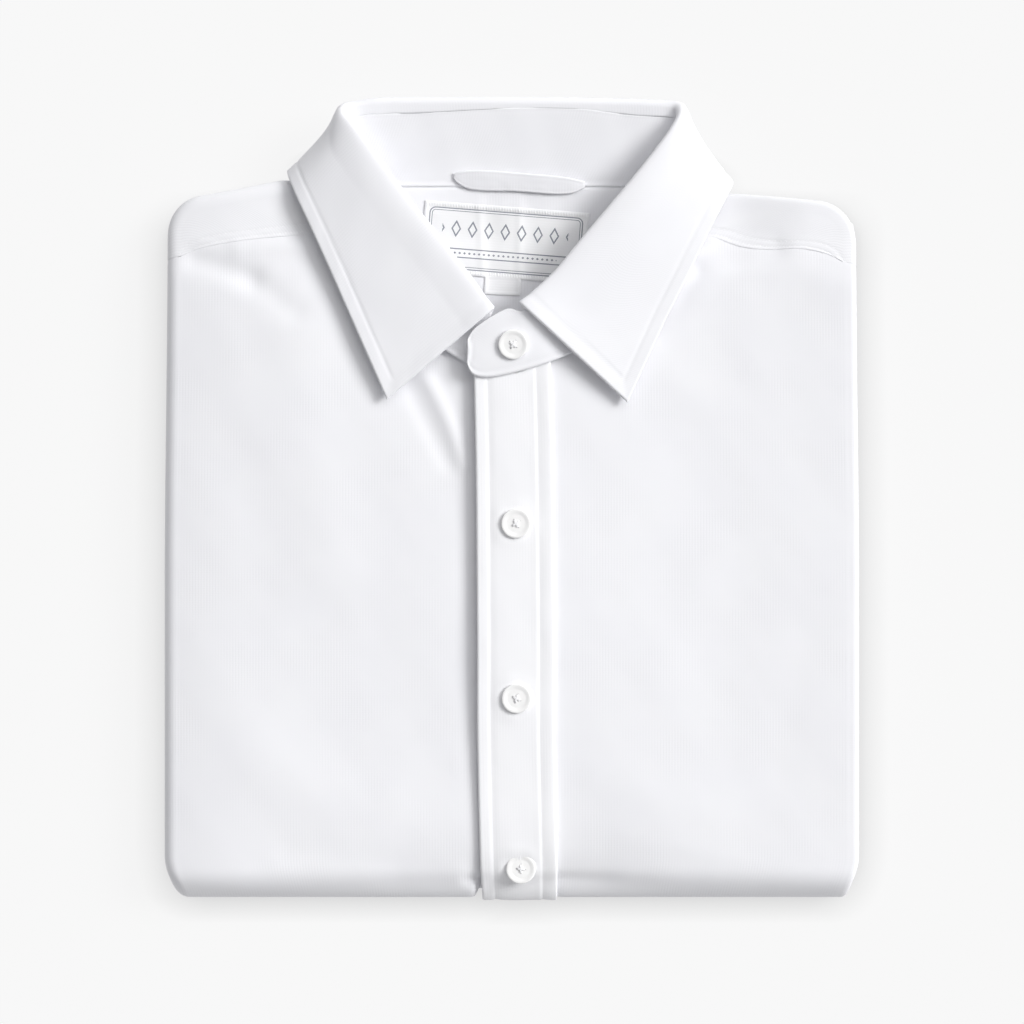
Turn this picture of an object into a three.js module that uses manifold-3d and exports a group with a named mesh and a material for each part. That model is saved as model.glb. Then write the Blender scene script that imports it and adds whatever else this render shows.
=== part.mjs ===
// Folded button-down shirt, lying on its back on a flat surface.
// A knitted cotton shirt, size M, folded the shop way: the sides and sleeves are turned behind,
// then the lower half is turned under. Millimetres, +Z up, +Y towards the collar.
// The origin is at the centre of the footprint, on the surface that the shirt lies on.
import * as THREE from 'three';
import Module from 'manifold-3d';

// ---- Driving sizes ----
const HALF_WIDTH = 156.5;      // half of the folded width
const BOTTOM_Y = -178.9;       // the large fold at the lower end
const BUNDLE = 12;             // thickness of the upper and of the lower half
const SLEEVE_LAYER = 2.4;      // the sleeves between the two halves
const STACK = 2 * BUNDLE + SLEEVE_LAYER;
const SEAM_GAP = 0.3;          // between neighbouring pieces
const CLOTH = 1.2;             // wall of the fronts and the yoke
const PLACKET_CLOTH = 2.0;     // doubled cloth with interlining
const COLLAR_CLOTH = 1.8;      // doubled cloth with interlining
const BUTTON_DIAMETER = 12.7;  // a 20-line shirt button
const BUTTON_THICKNESS = 2.6;

const FOLD_RADIUS = BUNDLE / 2;           // of the folded sides
const FLAT_HALF = HALF_WIDTH - FOLD_RADIUS;
const BEND_RADIUS = STACK / 2;            // of the large fold
const BEND_Y = BOTTOM_Y + BEND_RADIUS;
const SIDE_WRAP = THREE.MathUtils.degToRad(160);
const TAIL_Y = 126;                       // where the lower half ends
const TAIL_START = TAIL_Y - FOLD_RADIUS;

// The closure's layers, each level measured out from the surface of the right front.
const UNDER_PLACKET_TOP = SEAM_GAP + 1.4;
const LEFT_FRONT_RAISE = UNDER_PLACKET_TOP + SEAM_GAP + CLOTH;
const PLACKET_TOP = LEFT_FRONT_RAISE + SEAM_GAP + PLACKET_CLOTH;

const PLACKET_WIDTH = 34.8;
const UNDER_PLACKET_WIDTH = 24;
const PLACKET_TOP_Y = 57;
// The placket's middle leans a little to the wearer's left on its way down.
const PLACKET_MIDDLE = [{ y: 57, x: 0.5 }, { y: 13, x: 1.8 }, { y: -60, x: 2.4 }, { y: -108, x: 2.6 },
  { y: -182, x: 4.4 }];
// Buttons of the upper face, and below them those that the folded-under half lies on.
const COLLAR_BUTTON = { name: 'button_collar', x: 0.7, y: 69.3, z: 36.1, lean: 0.11 };
const BUTTONS = [
  { name: 'button_upper', y: -10.4 },
  { name: 'button_middle', y: -90 },
  { name: 'button_lower', y: -164.2 },
];
const BUTTONS_BENEATH = [
  { name: 'button_beneath_1', y: -124 },
  { name: 'button_beneath_2', y: -45 },
  { name: 'button_beneath_3', y: 34 },
];

// Largest soft folds of the upper face. Each runs from one point to another.
const SOFT_FOLDS = [
  { x0: -140, y0: 106, x1: -96, y1: 88, width: 9, height: -1.3 },
  { x0: -122, y0: 104, x1: -84, y1: 110, width: 7, height: 0.9 },
  { x0: -48, y0: 50, x1: -22, y1: 10, width: 8, height: 1.6 },
  { x0: -62, y0: 40, x1: -38, y1: -8, width: 10, height: -1.0 },
  { x0: -34, y0: -30, x1: -30, y1: -70, width: 9, height: 0.9 },
  { x0: 72, y0: 84, x1: 104, y1: 108, width: 8, height: -1.4 },
  { x0: 112, y0: 110, x1: 150, y1: 96, width: 8, height: 0.8 },
  { x0: 40, y0: -128, x1: 92, y1: -140, width: 13, height: 0.9 },
  { x0: -118, y0: -140, x1: -70, y1: -150, width: 13, height: 0.8 },
];

// Outlines in plan, each a short run of points that a smooth curve passes.
const LEFT_SEAM = [{ x: -156.5, y: 107.5 }, { x: -140, y: 113.2 }, { x: -118, y: 117 },
  { x: -95, y: 119 }, { x: -71, y: 121.5 }];
const RIGHT_SEAM = [{ x: 71, y: 119.5 }, { x: 91, y: 118 }, { x: 104, y: 113.8 },
  { x: 117, y: 112.4 }, { x: 131, y: 112.8 }, { x: 141, y: 111 }, { x: 149, y: 108.4 }, { x: 156.5, y: 104.5 }];
const NECKLINE = [{ x: -71, y: 121.5 }, { x: -60.5, y: 106 }, { x: -46, y: 88 }, { x: -29, y: 72.5 },
  { x: -14, y: 64.5 }, { x: 0, y: 62 }, { x: 14, y: 64.5 }, { x: 29, y: 72 }, { x: 46, y: 87 },
  { x: 60.5, y: 104 }, { x: 71, y: 119.5 }];
const LEFT_SHOULDER = [{ x: -138.5, y: 137.4 }, { x: -120, y: 140.8 }, { x: -104, y: 144 }, { x: -92, y: 142.6 }];
const RIGHT_SHOULDER = [{ x: 136.5, y: 134.8 }, { x: 118, y: 136.6 }, { x: 103, y: 137.8 }, { x: 92, y: 137.6 }];
const SHOULDER_DROOP = 3.2;

// Rings of the collar. Each row is one section round the neck, from the front to the middle of
// the back: the stand's seam on the body, the stand's top and the outer edge of the fall.
const LEFT_SECTIONS = [
  { seam: [-33, 69, 28.3], top: [-20, 97, 34.5], edge: [-63, 60.5, 30.8], rise: 3.0 },
  { seam: [-50, 84, 28.3], top: [-33, 113.5, 35.3], edge: [-72, 81, 30.6], rise: 3.0 },
  { seam: [-65, 102.5, 28.2], top: [-47, 131, 35.3], edge: [-81, 101.5, 30.2], rise: 2.6 },
  { seam: [-77, 121, 27.2], top: [-60, 148, 34.4], edge: [-90, 121.5, 29.0], rise: 2.0 },
  { seam: [-84, 133, 25.4], top: [-71, 163.5, 31.8], edge: [-97.5, 138, 26.4], rise: 1.0 },
  { seam: [-86.5, 139.5, 22.2], top: [-75.6, 170.6, 27.8], edge: [-100.6, 147.2, 19.6], rise: 0 },
  { seam: [-82.5, 141, 19.2], top: [-73, 173, 24.8], edge: [-94, 144, 11.4], rise: 0 },
  { seam: [-66, 141, 18.4], top: [-61, 173.3, 24.0], edge: [-72, 137, 10.6], rise: 0 },
  { seam: [-33, 141, 18.4], top: [-31, 173.5, 23.8], edge: [-35, 135, 10.4], rise: 0 },
];
const BACK_SECTION = { seam: [0, 141, 18.4], top: [0, 173.5, 23.8], edge: [0, 134.5, 10.4], rise: 0 };
const RIGHT_SECTIONS = [
  { seam: [33, 69, 30.2], top: [20, 98, 35.4], edge: [59, 58.5, 31.0], rise: 4.2 },
  { seam: [50, 84, 28.5], top: [33, 113.5, 35.8], edge: [68.5, 79, 30.8], rise: 3.6 },
  { seam: [65, 102, 28.2], top: [47, 130, 36], edge: [78.5, 99, 30.2], rise: 3.0 },
  { seam: [77, 119, 27.0], top: [60.5, 146.5, 35.0], edge: [88, 118.5, 28.8], rise: 2.2 },
  { seam: [84, 130, 25.2], top: [71.5, 161.5, 32.2], edge: [95.5, 133.5, 26.4], rise: 1.0 },
  { seam: [86.5, 136.5, 22.2], top: [76, 168.6, 28.0], edge: [99.4, 142.2, 19.6], rise: 0 },
  { seam: [82.5, 139.5, 19.2], top: [74, 171.5, 24.8], edge: [93.5, 140, 11.4], rise: 0 },
  { seam: [66, 140.6, 18.4], top: [61, 172.6, 24.0], edge: [72, 135.5, 10.6], rise: 0 },
  { seam: [33, 141, 18.4], top: [31, 173.3, 23.8], edge: [35, 135, 10.4], rise: 0 },
];
// The fall's own front ends, and the stand's ends past them, one over the other.
const LEFT_FALL_END = { seam: [-18, 61.6, 29.0], top: [-9.4, 87.4, 33.4], edge: [-56, 44.6, 30.6], rise: 2.6 };
const RIGHT_FALL_END = { seam: [19, 60.6, 33.2], top: [9.4, 88.2, 36.4], edge: [52, 43.2, 30.8], rise: 4.6 };
const UNDER_STAND_END = [
  { seam: [11.6, 59.6, 29.5], top: [11, 81.5, 31.6] },
  { seam: [-3, 59.4, 29.5], top: [-0.5, 84.0, 32.1] },
  LEFT_FALL_END,
];
const UPPER_STAND_END = [
  RIGHT_FALL_END,
  { seam: [2, 56.4, 33.4], top: [-1.5, 84.2, 36.4] },
  { seam: [-11, 54.6, 33.4], top: [-9.8, 79.0, 36.2] },
  { seam: [-16.6, 56.2, 33.4], top: [-16.0, 73.5, 35.4] },
  { seam: [-18.6, 61.0, 33.9], top: [-18.4, 69.5, 34.9] },
];
const ROLL_RADIUS = 2.5;
const BACK_ROLL_RISE = 3.4;    // how far the fall runs on above the stand before it turns over
const FRONT_ROLL_RISE = 1.2;

const YOKE_BACK_Z = 17;        // inside of the back yoke, seen through the neck
const LABEL = { x: -1.5, y: 117.5, width: 74, height: 34, thickness: 1.0, turn: -0.03 };
const SIZE_TAB = { x: -4.5, y: 95.3, width: 17, height: 9, thickness: 1.0, turn: -0.04 };
const LOOP = { x0: -26, x1: 31, leftY: 145.4, rightY: 141.4, sag: 1.6, width: 7.6, thickness: 1.2, lift: 1.3 };

// ---- Colours ----
const cotton = (tone) => new THREE.MeshStandardMaterial({ color: tone, roughness: 0.92, metalness: 0 });
const knit = cotton(0xf3f3f6);
const knitDoubled = cotton(0xf7f7f9);
const hiddenKnit = cotton(0xe9e9ee);
const satin = new THREE.MeshStandardMaterial({ color: 0xf4f4f5, roughness: 0.55, metalness: 0 });
const shell = new THREE.MeshStandardMaterial({ color: 0xf6f4f0, roughness: 0.25, metalness: 0 });

// ---- Small helpers ----
const wasm = await Module();
wasm.setup();

const mix = (a, b, t) => a + (b - a) * t;
const smooth = (from, to, value) => {
  const t = THREE.MathUtils.clamp((value - from) / (to - from), 0, 1);
  return t * t * (3 - 2 * t);
};
const vector = (row) => new THREE.Vector3(...row);

// Height of the smooth curve through a table of points whose x only grows or only falls.
function curveAt(table, x) {
  const rising = table[0].x < table[table.length - 1].x;
  const rows = rising ? table : [...table].reverse();
  const at = THREE.MathUtils.clamp(x, rows[0].x, rows[rows.length - 1].x);
  let k = 0;
  while (k < rows.length - 2 && rows[k + 1].x < at) k++;
  const slope = (i) => {
    const before = rows[Math.max(i - 1, 0)];
    const after = rows[Math.min(i + 1, rows.length - 1)];
    return (after.y - before.y) / (after.x - before.x);
  };
  const span = rows[k + 1].x - rows[k].x;
  const t = (at - rows[k].x) / span;
  const t2 = t * t;
  const t3 = t2 * t;
  return (2 * t3 - 3 * t2 + 1) * rows[k].y + (t3 - 2 * t2 + t) * span * slope(k)
    + (3 * t2 - 2 * t3) * rows[k + 1].y + (t3 - t2) * span * slope(k + 1);
}

// Relief of the upper face: the shoulders droop and soft folds cross the panels.
function relief(x, y) {
  let height = -SHOULDER_DROOP * smooth(88, 140, y);
  for (const fold of SOFT_FOLDS) {
    const dx = fold.x1 - fold.x0;
    const dy = fold.y1 - fold.y0;
    const along = ((x - fold.x0) * dx + (y - fold.y0) * dy) / (dx * dx + dy * dy);
    const near = THREE.MathUtils.clamp(along, 0, 1);
    const away = Math.hypot(x - fold.x0 - near * dx, y - fold.y0 - near * dy);
    height += fold.height * Math.exp(-((away / fold.width) ** 2)) * smooth(17, 30, Math.abs(x - 2));
  }
  return height;
}

// A point of the folded body. run is y on the upper face, and below BEND_Y it carries on as a
// length round the large fold and back along the underside. across is x, and past FLAT_HALF it
// carries on as a length round the folded side. level is the distance out from the cloth's face.
function bodyPoint(across, run, level) {
  const sign = Math.sign(across) || 1;
  const turn = Math.max(0, Math.abs(across) - FLAT_HALF) / FOLD_RADIUS;
  const x = sign * Math.min(Math.abs(across), FLAT_HALF);
  const shape = run > BEND_Y ? relief(x, run) : relief(x, BEND_Y) * Math.exp((run - BEND_Y) / 9);
  const sink = closureSink(x, run);
  const out = (shape + sink) * (turn > 0 ? 0.5 : 1);
  const height = turn > 0
    ? -FOLD_RADIUS + out + (FOLD_RADIUS + out + level) * Math.cos(turn)
    : out + level;
  const px = x + sign * (FOLD_RADIUS + level) * Math.sin(turn);
  return alongRun(px, run, height, out);
}

// The stack narrows a little towards the shoulders, and its corners are round at the large fold.
function settled(point) {
  point.x *= 1 - 0.008 * smooth(-40, 115, point.y) - 0.034 * smooth(-160, -182, point.y);
  return point;
}

// Lays a height above the outer face at its place on the U that the halves make. face is the
// height of the cloth's own face there.
const alongRun = (x, run, height, face = 0) => settled(straightAlongRun(x, run, height, face));

function straightAlongRun(x, run, height, face) {
  if (run >= BEND_Y) return new THREE.Vector3(x, run, STACK + height);
  const angle = (BEND_Y - run) / BEND_RADIUS;
  const radius = BEND_RADIUS + height;
  if (angle <= Math.PI) {
    return new THREE.Vector3(x, BEND_Y - radius * Math.sin(angle), BEND_RADIUS + radius * Math.cos(angle));
  }
  const y = BEND_Y + (angle - Math.PI) * BEND_RADIUS;
  if (y <= TAIL_START) return new THREE.Vector3(x, y, -height);
  const tailTurn = (y - TAIL_START) / FOLD_RADIUS;
  const tailRadius = Math.max(FOLD_RADIUS - face / 2 + height, 0.05);
  return new THREE.Vector3(x, TAIL_START + tailRadius * Math.sin(tailTurn),
    FOLD_RADIUS - face / 2 - tailRadius * Math.cos(tailTurn));
}

// The closure's extra layers stand proud on the upper face and are pressed in on the underside.
function closureSink(x, run) {
  const angle = (BEND_Y - run) / BEND_RADIUS;
  const beside = x < 2 ? smooth(-16, -24, x) : smooth(23, 56, x);
  const pressed = PLACKET_TOP + SEAM_GAP + BUTTON_THICKNESS;
  return -(4.2 * smooth(-0.8, 1.7, angle) + (pressed - 4.2) * smooth(1.7, 3.6, angle)) * (1 - beside);
}

const runOfUnderside = (y) => BEND_Y - Math.PI * BEND_RADIUS - (y - BEND_Y);
const runOfTail = (turn) => runOfUnderside(TAIL_START) - turn * FOLD_RADIUS;
const runOfBend = (turn) => BEND_Y - turn * BEND_RADIUS;
const degrees = (...list) => list.map(THREE.MathUtils.degToRad);

// ---- Turning grids of points into closed solids ----
function solidOf(positions, triangles) {
  let volume = 0;
  for (const [a, b, c] of triangles) {
    volume += positions[a].dot(new THREE.Vector3().crossVectors(positions[b], positions[c]));
  }
  const ordered = volume < 0 ? triangles.map(([a, b, c]) => [a, c, b]) : triangles;
  const geometry = new THREE.BufferGeometry();
  geometry.setAttribute('position', new THREE.Float32BufferAttribute(positions.flatMap((p) => p.toArray()), 3));
  geometry.setIndex(ordered.flat());
  return geometry;
}

// A wall of cloth from two grids, its outer and its inner face. keep says which cells are cloth.
function wallOf(outer, inner, keep = () => true) {
  const rows = outer.length;
  const columns = outer[0].length;
  const used = new Map();
  const positions = [];
  const vertex = (side, i, j) => {
    const key = `${side} ${i} ${j}`;
    if (!used.has(key)) {
      used.set(key, positions.length);
      positions.push((side ? inner : outer)[i][j]);
    }
    return used.get(key);
  };
  const triangles = [];
  const edges = new Map();
  for (let i = 0; i < rows - 1; i++) {
    for (let j = 0; j < columns - 1; j++) {
      if (!keep(i, j)) continue;
      const ring = [[i, j], [i + 1, j], [i + 1, j + 1], [i, j + 1]];
      const o = ring.map(([r, c]) => vertex(0, r, c));
      const n = ring.map(([r, c]) => vertex(1, r, c));
      triangles.push([o[0], o[1], o[2]], [o[0], o[2], o[3]], [n[0], n[2], n[1]], [n[0], n[3], n[2]]);
      for (let k = 0; k < 4; k++) {
        const next = (k + 1) % 4;
        const back = `${o[next]} ${o[k]}`;
        if (edges.has(back)) edges.delete(back);
        else edges.set(`${o[k]} ${o[next]}`, [o[k], o[next], n[k], n[next]]);
      }
    }
  }
  for (const [a, b, c, d] of edges.values()) triangles.push([a, d, b], [a, c, d]);
  return solidOf(positions, triangles);
}

// Offsets a grid of mid-wall points both ways along its normals, and thins it towards its rims.
function wallAround(middle, thickness) {
  const rows = middle.length;
  const columns = middle[0].length;
  const side = (sign) => middle.map((line, i) => line.map((point, j) => {
    const alongRows = new THREE.Vector3().subVectors(
      middle[Math.min(i + 1, rows - 1)][j], middle[Math.max(i - 1, 0)][j]);
    const alongColumns = new THREE.Vector3().subVectors(
      line[Math.min(j + 1, columns - 1)], line[Math.max(j - 1, 0)]);
    const normal = new THREE.Vector3().crossVectors(alongRows, alongColumns).normalize();
    return point.clone().addScaledVector(normal, sign * thickness / 2);
  }));
  return wallOf(side(1), side(-1));
}

const manifoldOf = (geometry) => new wasm.Manifold(new wasm.Mesh({
  numProp: 3,
  vertProperties: new Float32Array(geometry.getAttribute('position').array),
  triVerts: new Uint32Array(geometry.getIndex().array),
}));

function geometryOf(manifold) {
  const mesh = manifold.getMesh();
  const geometry = new THREE.BufferGeometry();
  geometry.setAttribute('position', new THREE.BufferAttribute(mesh.vertProperties, 3));
  geometry.setIndex(new THREE.BufferAttribute(mesh.triVerts, 1));
  return geometry;
}

// Extrudes a plan outline between two heights, as an indexed closed mesh.
function prism(outline, low, high) {
  const flat = outline.map(([x, y]) => new THREE.Vector2(x, y));
  const count = flat.length;
  const positions = [...flat.map((p) => new THREE.Vector3(p.x, p.y, low)),
    ...flat.map((p) => new THREE.Vector3(p.x, p.y, high))];
  const triangles = [];
  for (const [a, b, c] of THREE.ShapeUtils.triangulateShape(flat, [])) {
    triangles.push([a, c, b], [a + count, b + count, c + count]);
  }
  for (let k = 0; k < count; k++) {
    const next = (k + 1) % count;
    triangles.push([k, next, next + count], [k, next + count, k + count]);
  }
  return solidOf(positions, triangles);
}

const shirt = new THREE.Group();
shirt.name = 'folded_shirt';

function add(name, geometry, material) {
  const mesh = new THREE.Mesh(geometry, material);
  mesh.name = name;
  shirt.add(mesh);
  return mesh;
}

// ---- Rows that the long pieces share ----
const UPPER_SHARES = [0, 0.1, 0.22, 0.34, 0.46, 0.58, 0.7, 0.82, 0.92];
const BEND_TURNS = degrees(0, 22.5, 45, 67.5, 90, 112.5, 135, 157.5, 180);
const TAIL_TURNS = degrees(0, 40, 80, 120, 160);
const UNDERSIDE_ROWS = [-152, -60, 30, 100];

// ---- Fronts ----
// Upper edge of the fronts: the yoke seam, and between the seams the neckline.
function frontTop(x) {
  if (x < NECKLINE[0].x) return curveAt(LEFT_SEAM, x) - SEAM_GAP / 2;
  if (x > NECKLINE[NECKLINE.length - 1].x) return curveAt(RIGHT_SEAM, x) - SEAM_GAP / 2;
  return curveAt(NECKLINE, x) - SEAM_GAP / 2;
}

// The left front climbs over the button side of the closure.
const leftFrontRaise = (x) => LEFT_FRONT_RAISE * (1 - smooth(19, 50, x));

function frontGrid(columns, raise, topOf) {
  const runs = (x) => [
    ...UPPER_SHARES.map((share) => mix(topOf(x), BEND_Y, share)),
    ...BEND_TURNS.map(runOfBend),
    ...UNDERSIDE_ROWS.map(runOfUnderside),
    ...TAIL_TURNS.map(runOfTail),
  ];
  const total = runs(0).length;
  return (drop) => Array.from({ length: total }, (_, i) => columns.map((across) => {
    const x = THREE.MathUtils.clamp(across, -HALF_WIDTH, HALF_WIDTH);
    return bodyPoint(across, runs(x)[i], raise(x) - drop);
  }));
}

// The tail turns up between the folded sides, and not at the closure, where it ends in a hem.
function tailKeep(columns, rows) {
  const lastFlat = rows - TAIL_TURNS.length;
  const quarter = FLAT_HALF + FOLD_RADIUS * Math.PI / 2 + 0.01;
  return (i, j) => {
    const pair = [columns[j], columns[j + 1]];
    return i < lastFlat || (Math.max(...pair.map(Math.abs)) < quarter && (Math.max(...pair) < -15 || Math.min(...pair) > 18));
  };
}

// Room that a wall and the gap behind it need in the layers below it.
const roomFor = (grid, keep) => manifoldOf(wallOf(grid(-1), grid(CLOTH + 1.2 * SEAM_GAP), keep));
const rooms = [];

function frontPanel(columns, raise, topOf) {
  const grid = frontGrid(columns, raise, topOf);
  const keep = tailKeep(columns, grid(0).length);
  rooms.push(roomFor(grid, keep));
  return wallOf(grid(0), grid(CLOTH), keep);
}

const WRAP_TURNS = degrees(22, 45, 67, 90, 113, 136).concat(SIDE_WRAP);
const wrapColumns = WRAP_TURNS.map((turn) => FLAT_HALF + turn * FOLD_RADIUS);
const rightFrontColumns = [17, 3, -9, -15.5, -19, -23, -31, -43, -56, -71, -88, -105, -122, -138, -FLAT_HALF,
  ...wrapColumns.map((across) => -across)];
const leftFrontColumns = [-12, 0, 13, 19, 26, 34, 42, 56, 71, 80, 88, 96, 105, 113, 122, 130, 138, FLAT_HALF, ...wrapColumns];
const leftFrontTop = (x) => mix(PLACKET_TOP_Y, frontTop(x), smooth(13, 20, x));
add('front_right', frontPanel(rightFrontColumns, () => 0, frontTop), knit);
add('front_left', frontPanel(leftFrontColumns, leftFrontRaise, leftFrontTop), knit);

// ---- Closure: the button side below and the buttonhole placket above ----
const middleRows = PLACKET_MIDDLE.map(({ x, y }) => ({ x: y, y: x }));
const placketMiddle = (run) => curveAt(middleRows, run);

function closureStrip(width, columns, top, thickness, topY) {
  const runs = [topY, ...UPPER_SHARES.slice(1).map((share) => mix(topY, BEND_Y, share)),
    ...BEND_TURNS.map(runOfBend), ...UNDERSIDE_ROWS.map(runOfUnderside), runOfUnderside(TAIL_START - 1)];
  const grid = (level) => runs.map((run) => Array.from({ length: columns }, (_, j) => {
    const x = placketMiddle(run) + width * (j / (columns - 1) - 0.5);
    return bodyPoint(x, run, level);
  }));
  return wallOf(grid(top), grid(top - thickness));
}

add('placket_under', closureStrip(UNDER_PLACKET_WIDTH, 3, UNDER_PLACKET_TOP, 1.4, PLACKET_TOP_Y - 1), knitDoubled);
add('placket', closureStrip(PLACKET_WIDTH, 5, PLACKET_TOP, PLACKET_CLOTH, PLACKET_TOP_Y), knitDoubled);

// ---- Yoke over the shoulders ----
// Each shoulder runs from the seam to the folded edge, round it and a little way behind.
function shoulderYoke(seam, shoulder, sideY, cornerRadius, side) {
  const corner = new THREE.Vector2(side * (HALF_WIDTH - cornerRadius), curveAt(shoulder, shoulder[0].x) - cornerRadius);
  const outline = [new THREE.Vector2(side * HALF_WIDTH, sideY + SEAM_GAP),
    new THREE.Vector2(side * HALF_WIDTH, mix(sideY, corner.y, 0.6))];
  for (const turn of degrees(0, 22, 45, 68, 90)) {
    outline.push(new THREE.Vector2(corner.x + side * cornerRadius * Math.cos(turn),
      corner.y + cornerRadius * Math.sin(turn)));
  }
  for (const row of shoulder.slice(1)) outline.push(new THREE.Vector2(row.x, row.y));
  const last = outline.length - 1;
  const seamStart = side * (FLAT_HALF - 5);
  const seamEnd = side * Math.abs(NECKLINE[0].x);
  const seamY = (x) => curveAt(seam, THREE.MathUtils.clamp(x, -HALF_WIDTH, HALF_WIDTH)) + SEAM_GAP;
  const lines = outline.map((edge, i) => {
    const before = outline[Math.max(i - 1, 0)];
    const after = outline[Math.min(i + 1, last)];
    const inward = new THREE.Vector2(after.y - before.y, before.x - after.x).normalize().multiplyScalar(-side);
    const start = new THREE.Vector2(mix(seamStart, seamEnd, (i / last) ** 1.15), 0);
    start.y = seamY(start.x);
    return { edge, inward, start };
  });
  const flatShares = [0, 0.35, 0.7, 1];
  const turns = degrees(25, 50, 75, 100, 125, 150, 180);
  const grid = (drop) => lines.map(({ edge, inward, start }, line) => {
    const rim = edge.clone().addScaledVector(inward, FOLD_RADIUS);
    if (line === 0) rim.y = seamY(rim.x);
    const points = flatShares.map((share) => {
      const at = start.clone().lerp(rim, share);
      if (line === 0) at.y = seamY(at.x);
      return settled(new THREE.Vector3(at.x, at.y, STACK + relief(at.x, at.y) - drop));
    });
    const top = STACK + relief(rim.x, rim.y);
    const bottom = STACK - BUNDLE;
    for (const turn of turns) {
      const outward = -(FOLD_RADIUS - drop) * Math.sin(turn);
      const at = rim.clone().addScaledVector(inward, outward);
      if (line === 0) at.y = seamY(side * (FLAT_HALF + turn * FOLD_RADIUS));
      points.push(settled(new THREE.Vector3(at.x, at.y,
        (top + bottom) / 2 + ((top - bottom) / 2 - drop) * Math.cos(turn))));
    }
    const behind = rim.clone().addScaledVector(inward, 8);
    if (line === 0) behind.y = seamY(side * HALF_WIDTH);
    points.push(settled(new THREE.Vector3(behind.x, behind.y, bottom + drop)));
    return points;
  });
  rooms.push(roomFor(grid, () => true));
  return wallOf(grid(0), grid(CLOTH));
}

add('yoke_left_side', shoulderYoke(LEFT_SEAM, LEFT_SHOULDER, LEFT_SEAM[0].y, 18, -1), knit);
add('yoke_right_side', shoulderYoke(RIGHT_SEAM, RIGHT_SHOULDER, RIGHT_SEAM[RIGHT_SEAM.length - 1].y, 19, 1), knit);

// The yoke behind the neck, with its inside facing up.
const neckCut = (grow) => [
  ...NECKLINE.map(({ x, y }) => [x * (1 + grow / 71), y - grow]),
  [84 + grow, 130], [90 + grow, 138], [90 + grow, 160], [-90 - grow, 160], [-90 - grow, 140], [-84 - grow, 132],
];
const yokeOutline = [
  ...NECKLINE.map(({ x, y }) => [x * 0.985, y + 0.8]),
  [80, 130], [80, 143], [40, 143.6], [0, 143.8], [-40, 143.6], [-80, 143], [-80, 131],
];
add('yoke_back', prism(yokeOutline, YOKE_BACK_Z - CLOTH, YOKE_BACK_Z), knit);

// ---- Hidden layers: the back, the turned-in sides and the sleeves in one rounded solid ----
function hiddenLayers() {
  const stops = [
    { run: 135.6, width: 132, half: 2.2 }, { run: 133, width: 142, half: 3.6 },
    { run: 128, width: 148.4, half: 4.5 }, { run: 119, width: HALF_WIDTH, half: 4.5 },
    ...[104, 86, 66, 45, 20, -10, -45, -85, -125, -150].map((run) => ({ run, width: HALF_WIDTH, half: 4.5 })),
    ...BEND_TURNS.map((turn) => ({ run: runOfBend(turn), width: HALF_WIDTH, half: 4.5 })),
    ...[-120, -60, 0, 60, 100].map((y) => ({ run: runOfUnderside(y), width: HALF_WIDTH, half: 4.5 })),
    { run: runOfUnderside(114), width: HALF_WIDTH - 1, half: 4.4 },
    { run: runOfUnderside(TAIL_START - 1), width: HALF_WIDTH - 4, half: 3.2 },
  ];
  const shares = [-1, -0.84, -0.64, -0.46, -0.32, -0.22, -0.17, -0.143, -0.12, -0.04, 0.06, 0.13, 0.2, 0.28, 0.36,
    0.48, 0.66, 0.84, 1];
  const turns = degrees(30, 60, 90, 120, 150);
  const rings = stops.map(({ run, width, half }) => {
    const flat = width - FOLD_RADIUS;
    const middle = -FOLD_RADIUS;
    const points = [];
    const place = (x, height) => points.push(alongRunPlain(x, run, height));
    const lift = (x) => (run > BEND_Y ? relief(x, run) : relief(x, BEND_Y) * Math.exp((run - BEND_Y) / 9));
    for (const share of shares) {
      const x = share * flat;
      place(x, Math.max(middle + half - 0.2 + lift(x) + closureSink(x, run), middle - half + 0.5));
    }
    for (const turn of turns) {
      const out = lift(flat) / 2;
      place(flat + half * Math.sin(turn), middle + out + (half + out) * Math.cos(turn));
    }
    for (const share of [...shares].reverse()) place(share * flat, middle - half);
    for (const turn of [...turns].reverse()) {
      const out = lift(-flat) / 2;
      place(-flat - half * Math.sin(turn), middle + out + (half + out) * Math.cos(turn));
    }
    return points;
  });
  const count = rings[0].length;
  const positions = rings.flat();
  const triangles = [];
  for (let i = 0; i < rings.length - 1; i++) {
    for (let j = 0; j < count; j++) {
      const next = (j + 1) % count;
      const [a, b, c, d] = [i * count + j, i * count + next, (i + 1) * count + next, (i + 1) * count + j];
      triangles.push([a, b, c], [a, c, d]);
    }
  }
  for (const [start, flip] of [[0, false], [(rings.length - 1) * count, true]]) {
    const columns = shares.length;
    const top = (k) => start + k;
    const bottom = (k) => start + count - turns.length - 1 - k;
    const cap = [];
    for (let k = 0; k < columns - 1; k++) {
      cap.push([top(k), bottom(k), bottom(k + 1)], [top(k), bottom(k + 1), top(k + 1)]);
    }
    const right = [columns - 1, ...turns.map((_, k) => columns + k), columns + turns.length];
    const left = [0, ...turns.map((_, k) => count - 1 - k), count - turns.length - 1];
    for (let k = 1; k < right.length - 1; k++) {
      cap.push([start + right[0], start + right[k + 1], start + right[k]]);
      cap.push([start + left[0], start + left[k], start + left[k + 1]]);
    }
    triangles.push(...cap.map(([a, b, c]) => (flip ? [a, c, b] : [a, b, c])));
  }
  return solidOf(positions, triangles);
}

// As alongRun, without the tail's turn.
function alongRunPlain(x, run, height) {
  const angle = (BEND_Y - run) / BEND_RADIUS;
  if (angle <= Math.PI) return alongRun(x, run, height);
  return new THREE.Vector3(x, BEND_Y + (angle - Math.PI) * BEND_RADIUS, -height);
}

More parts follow.
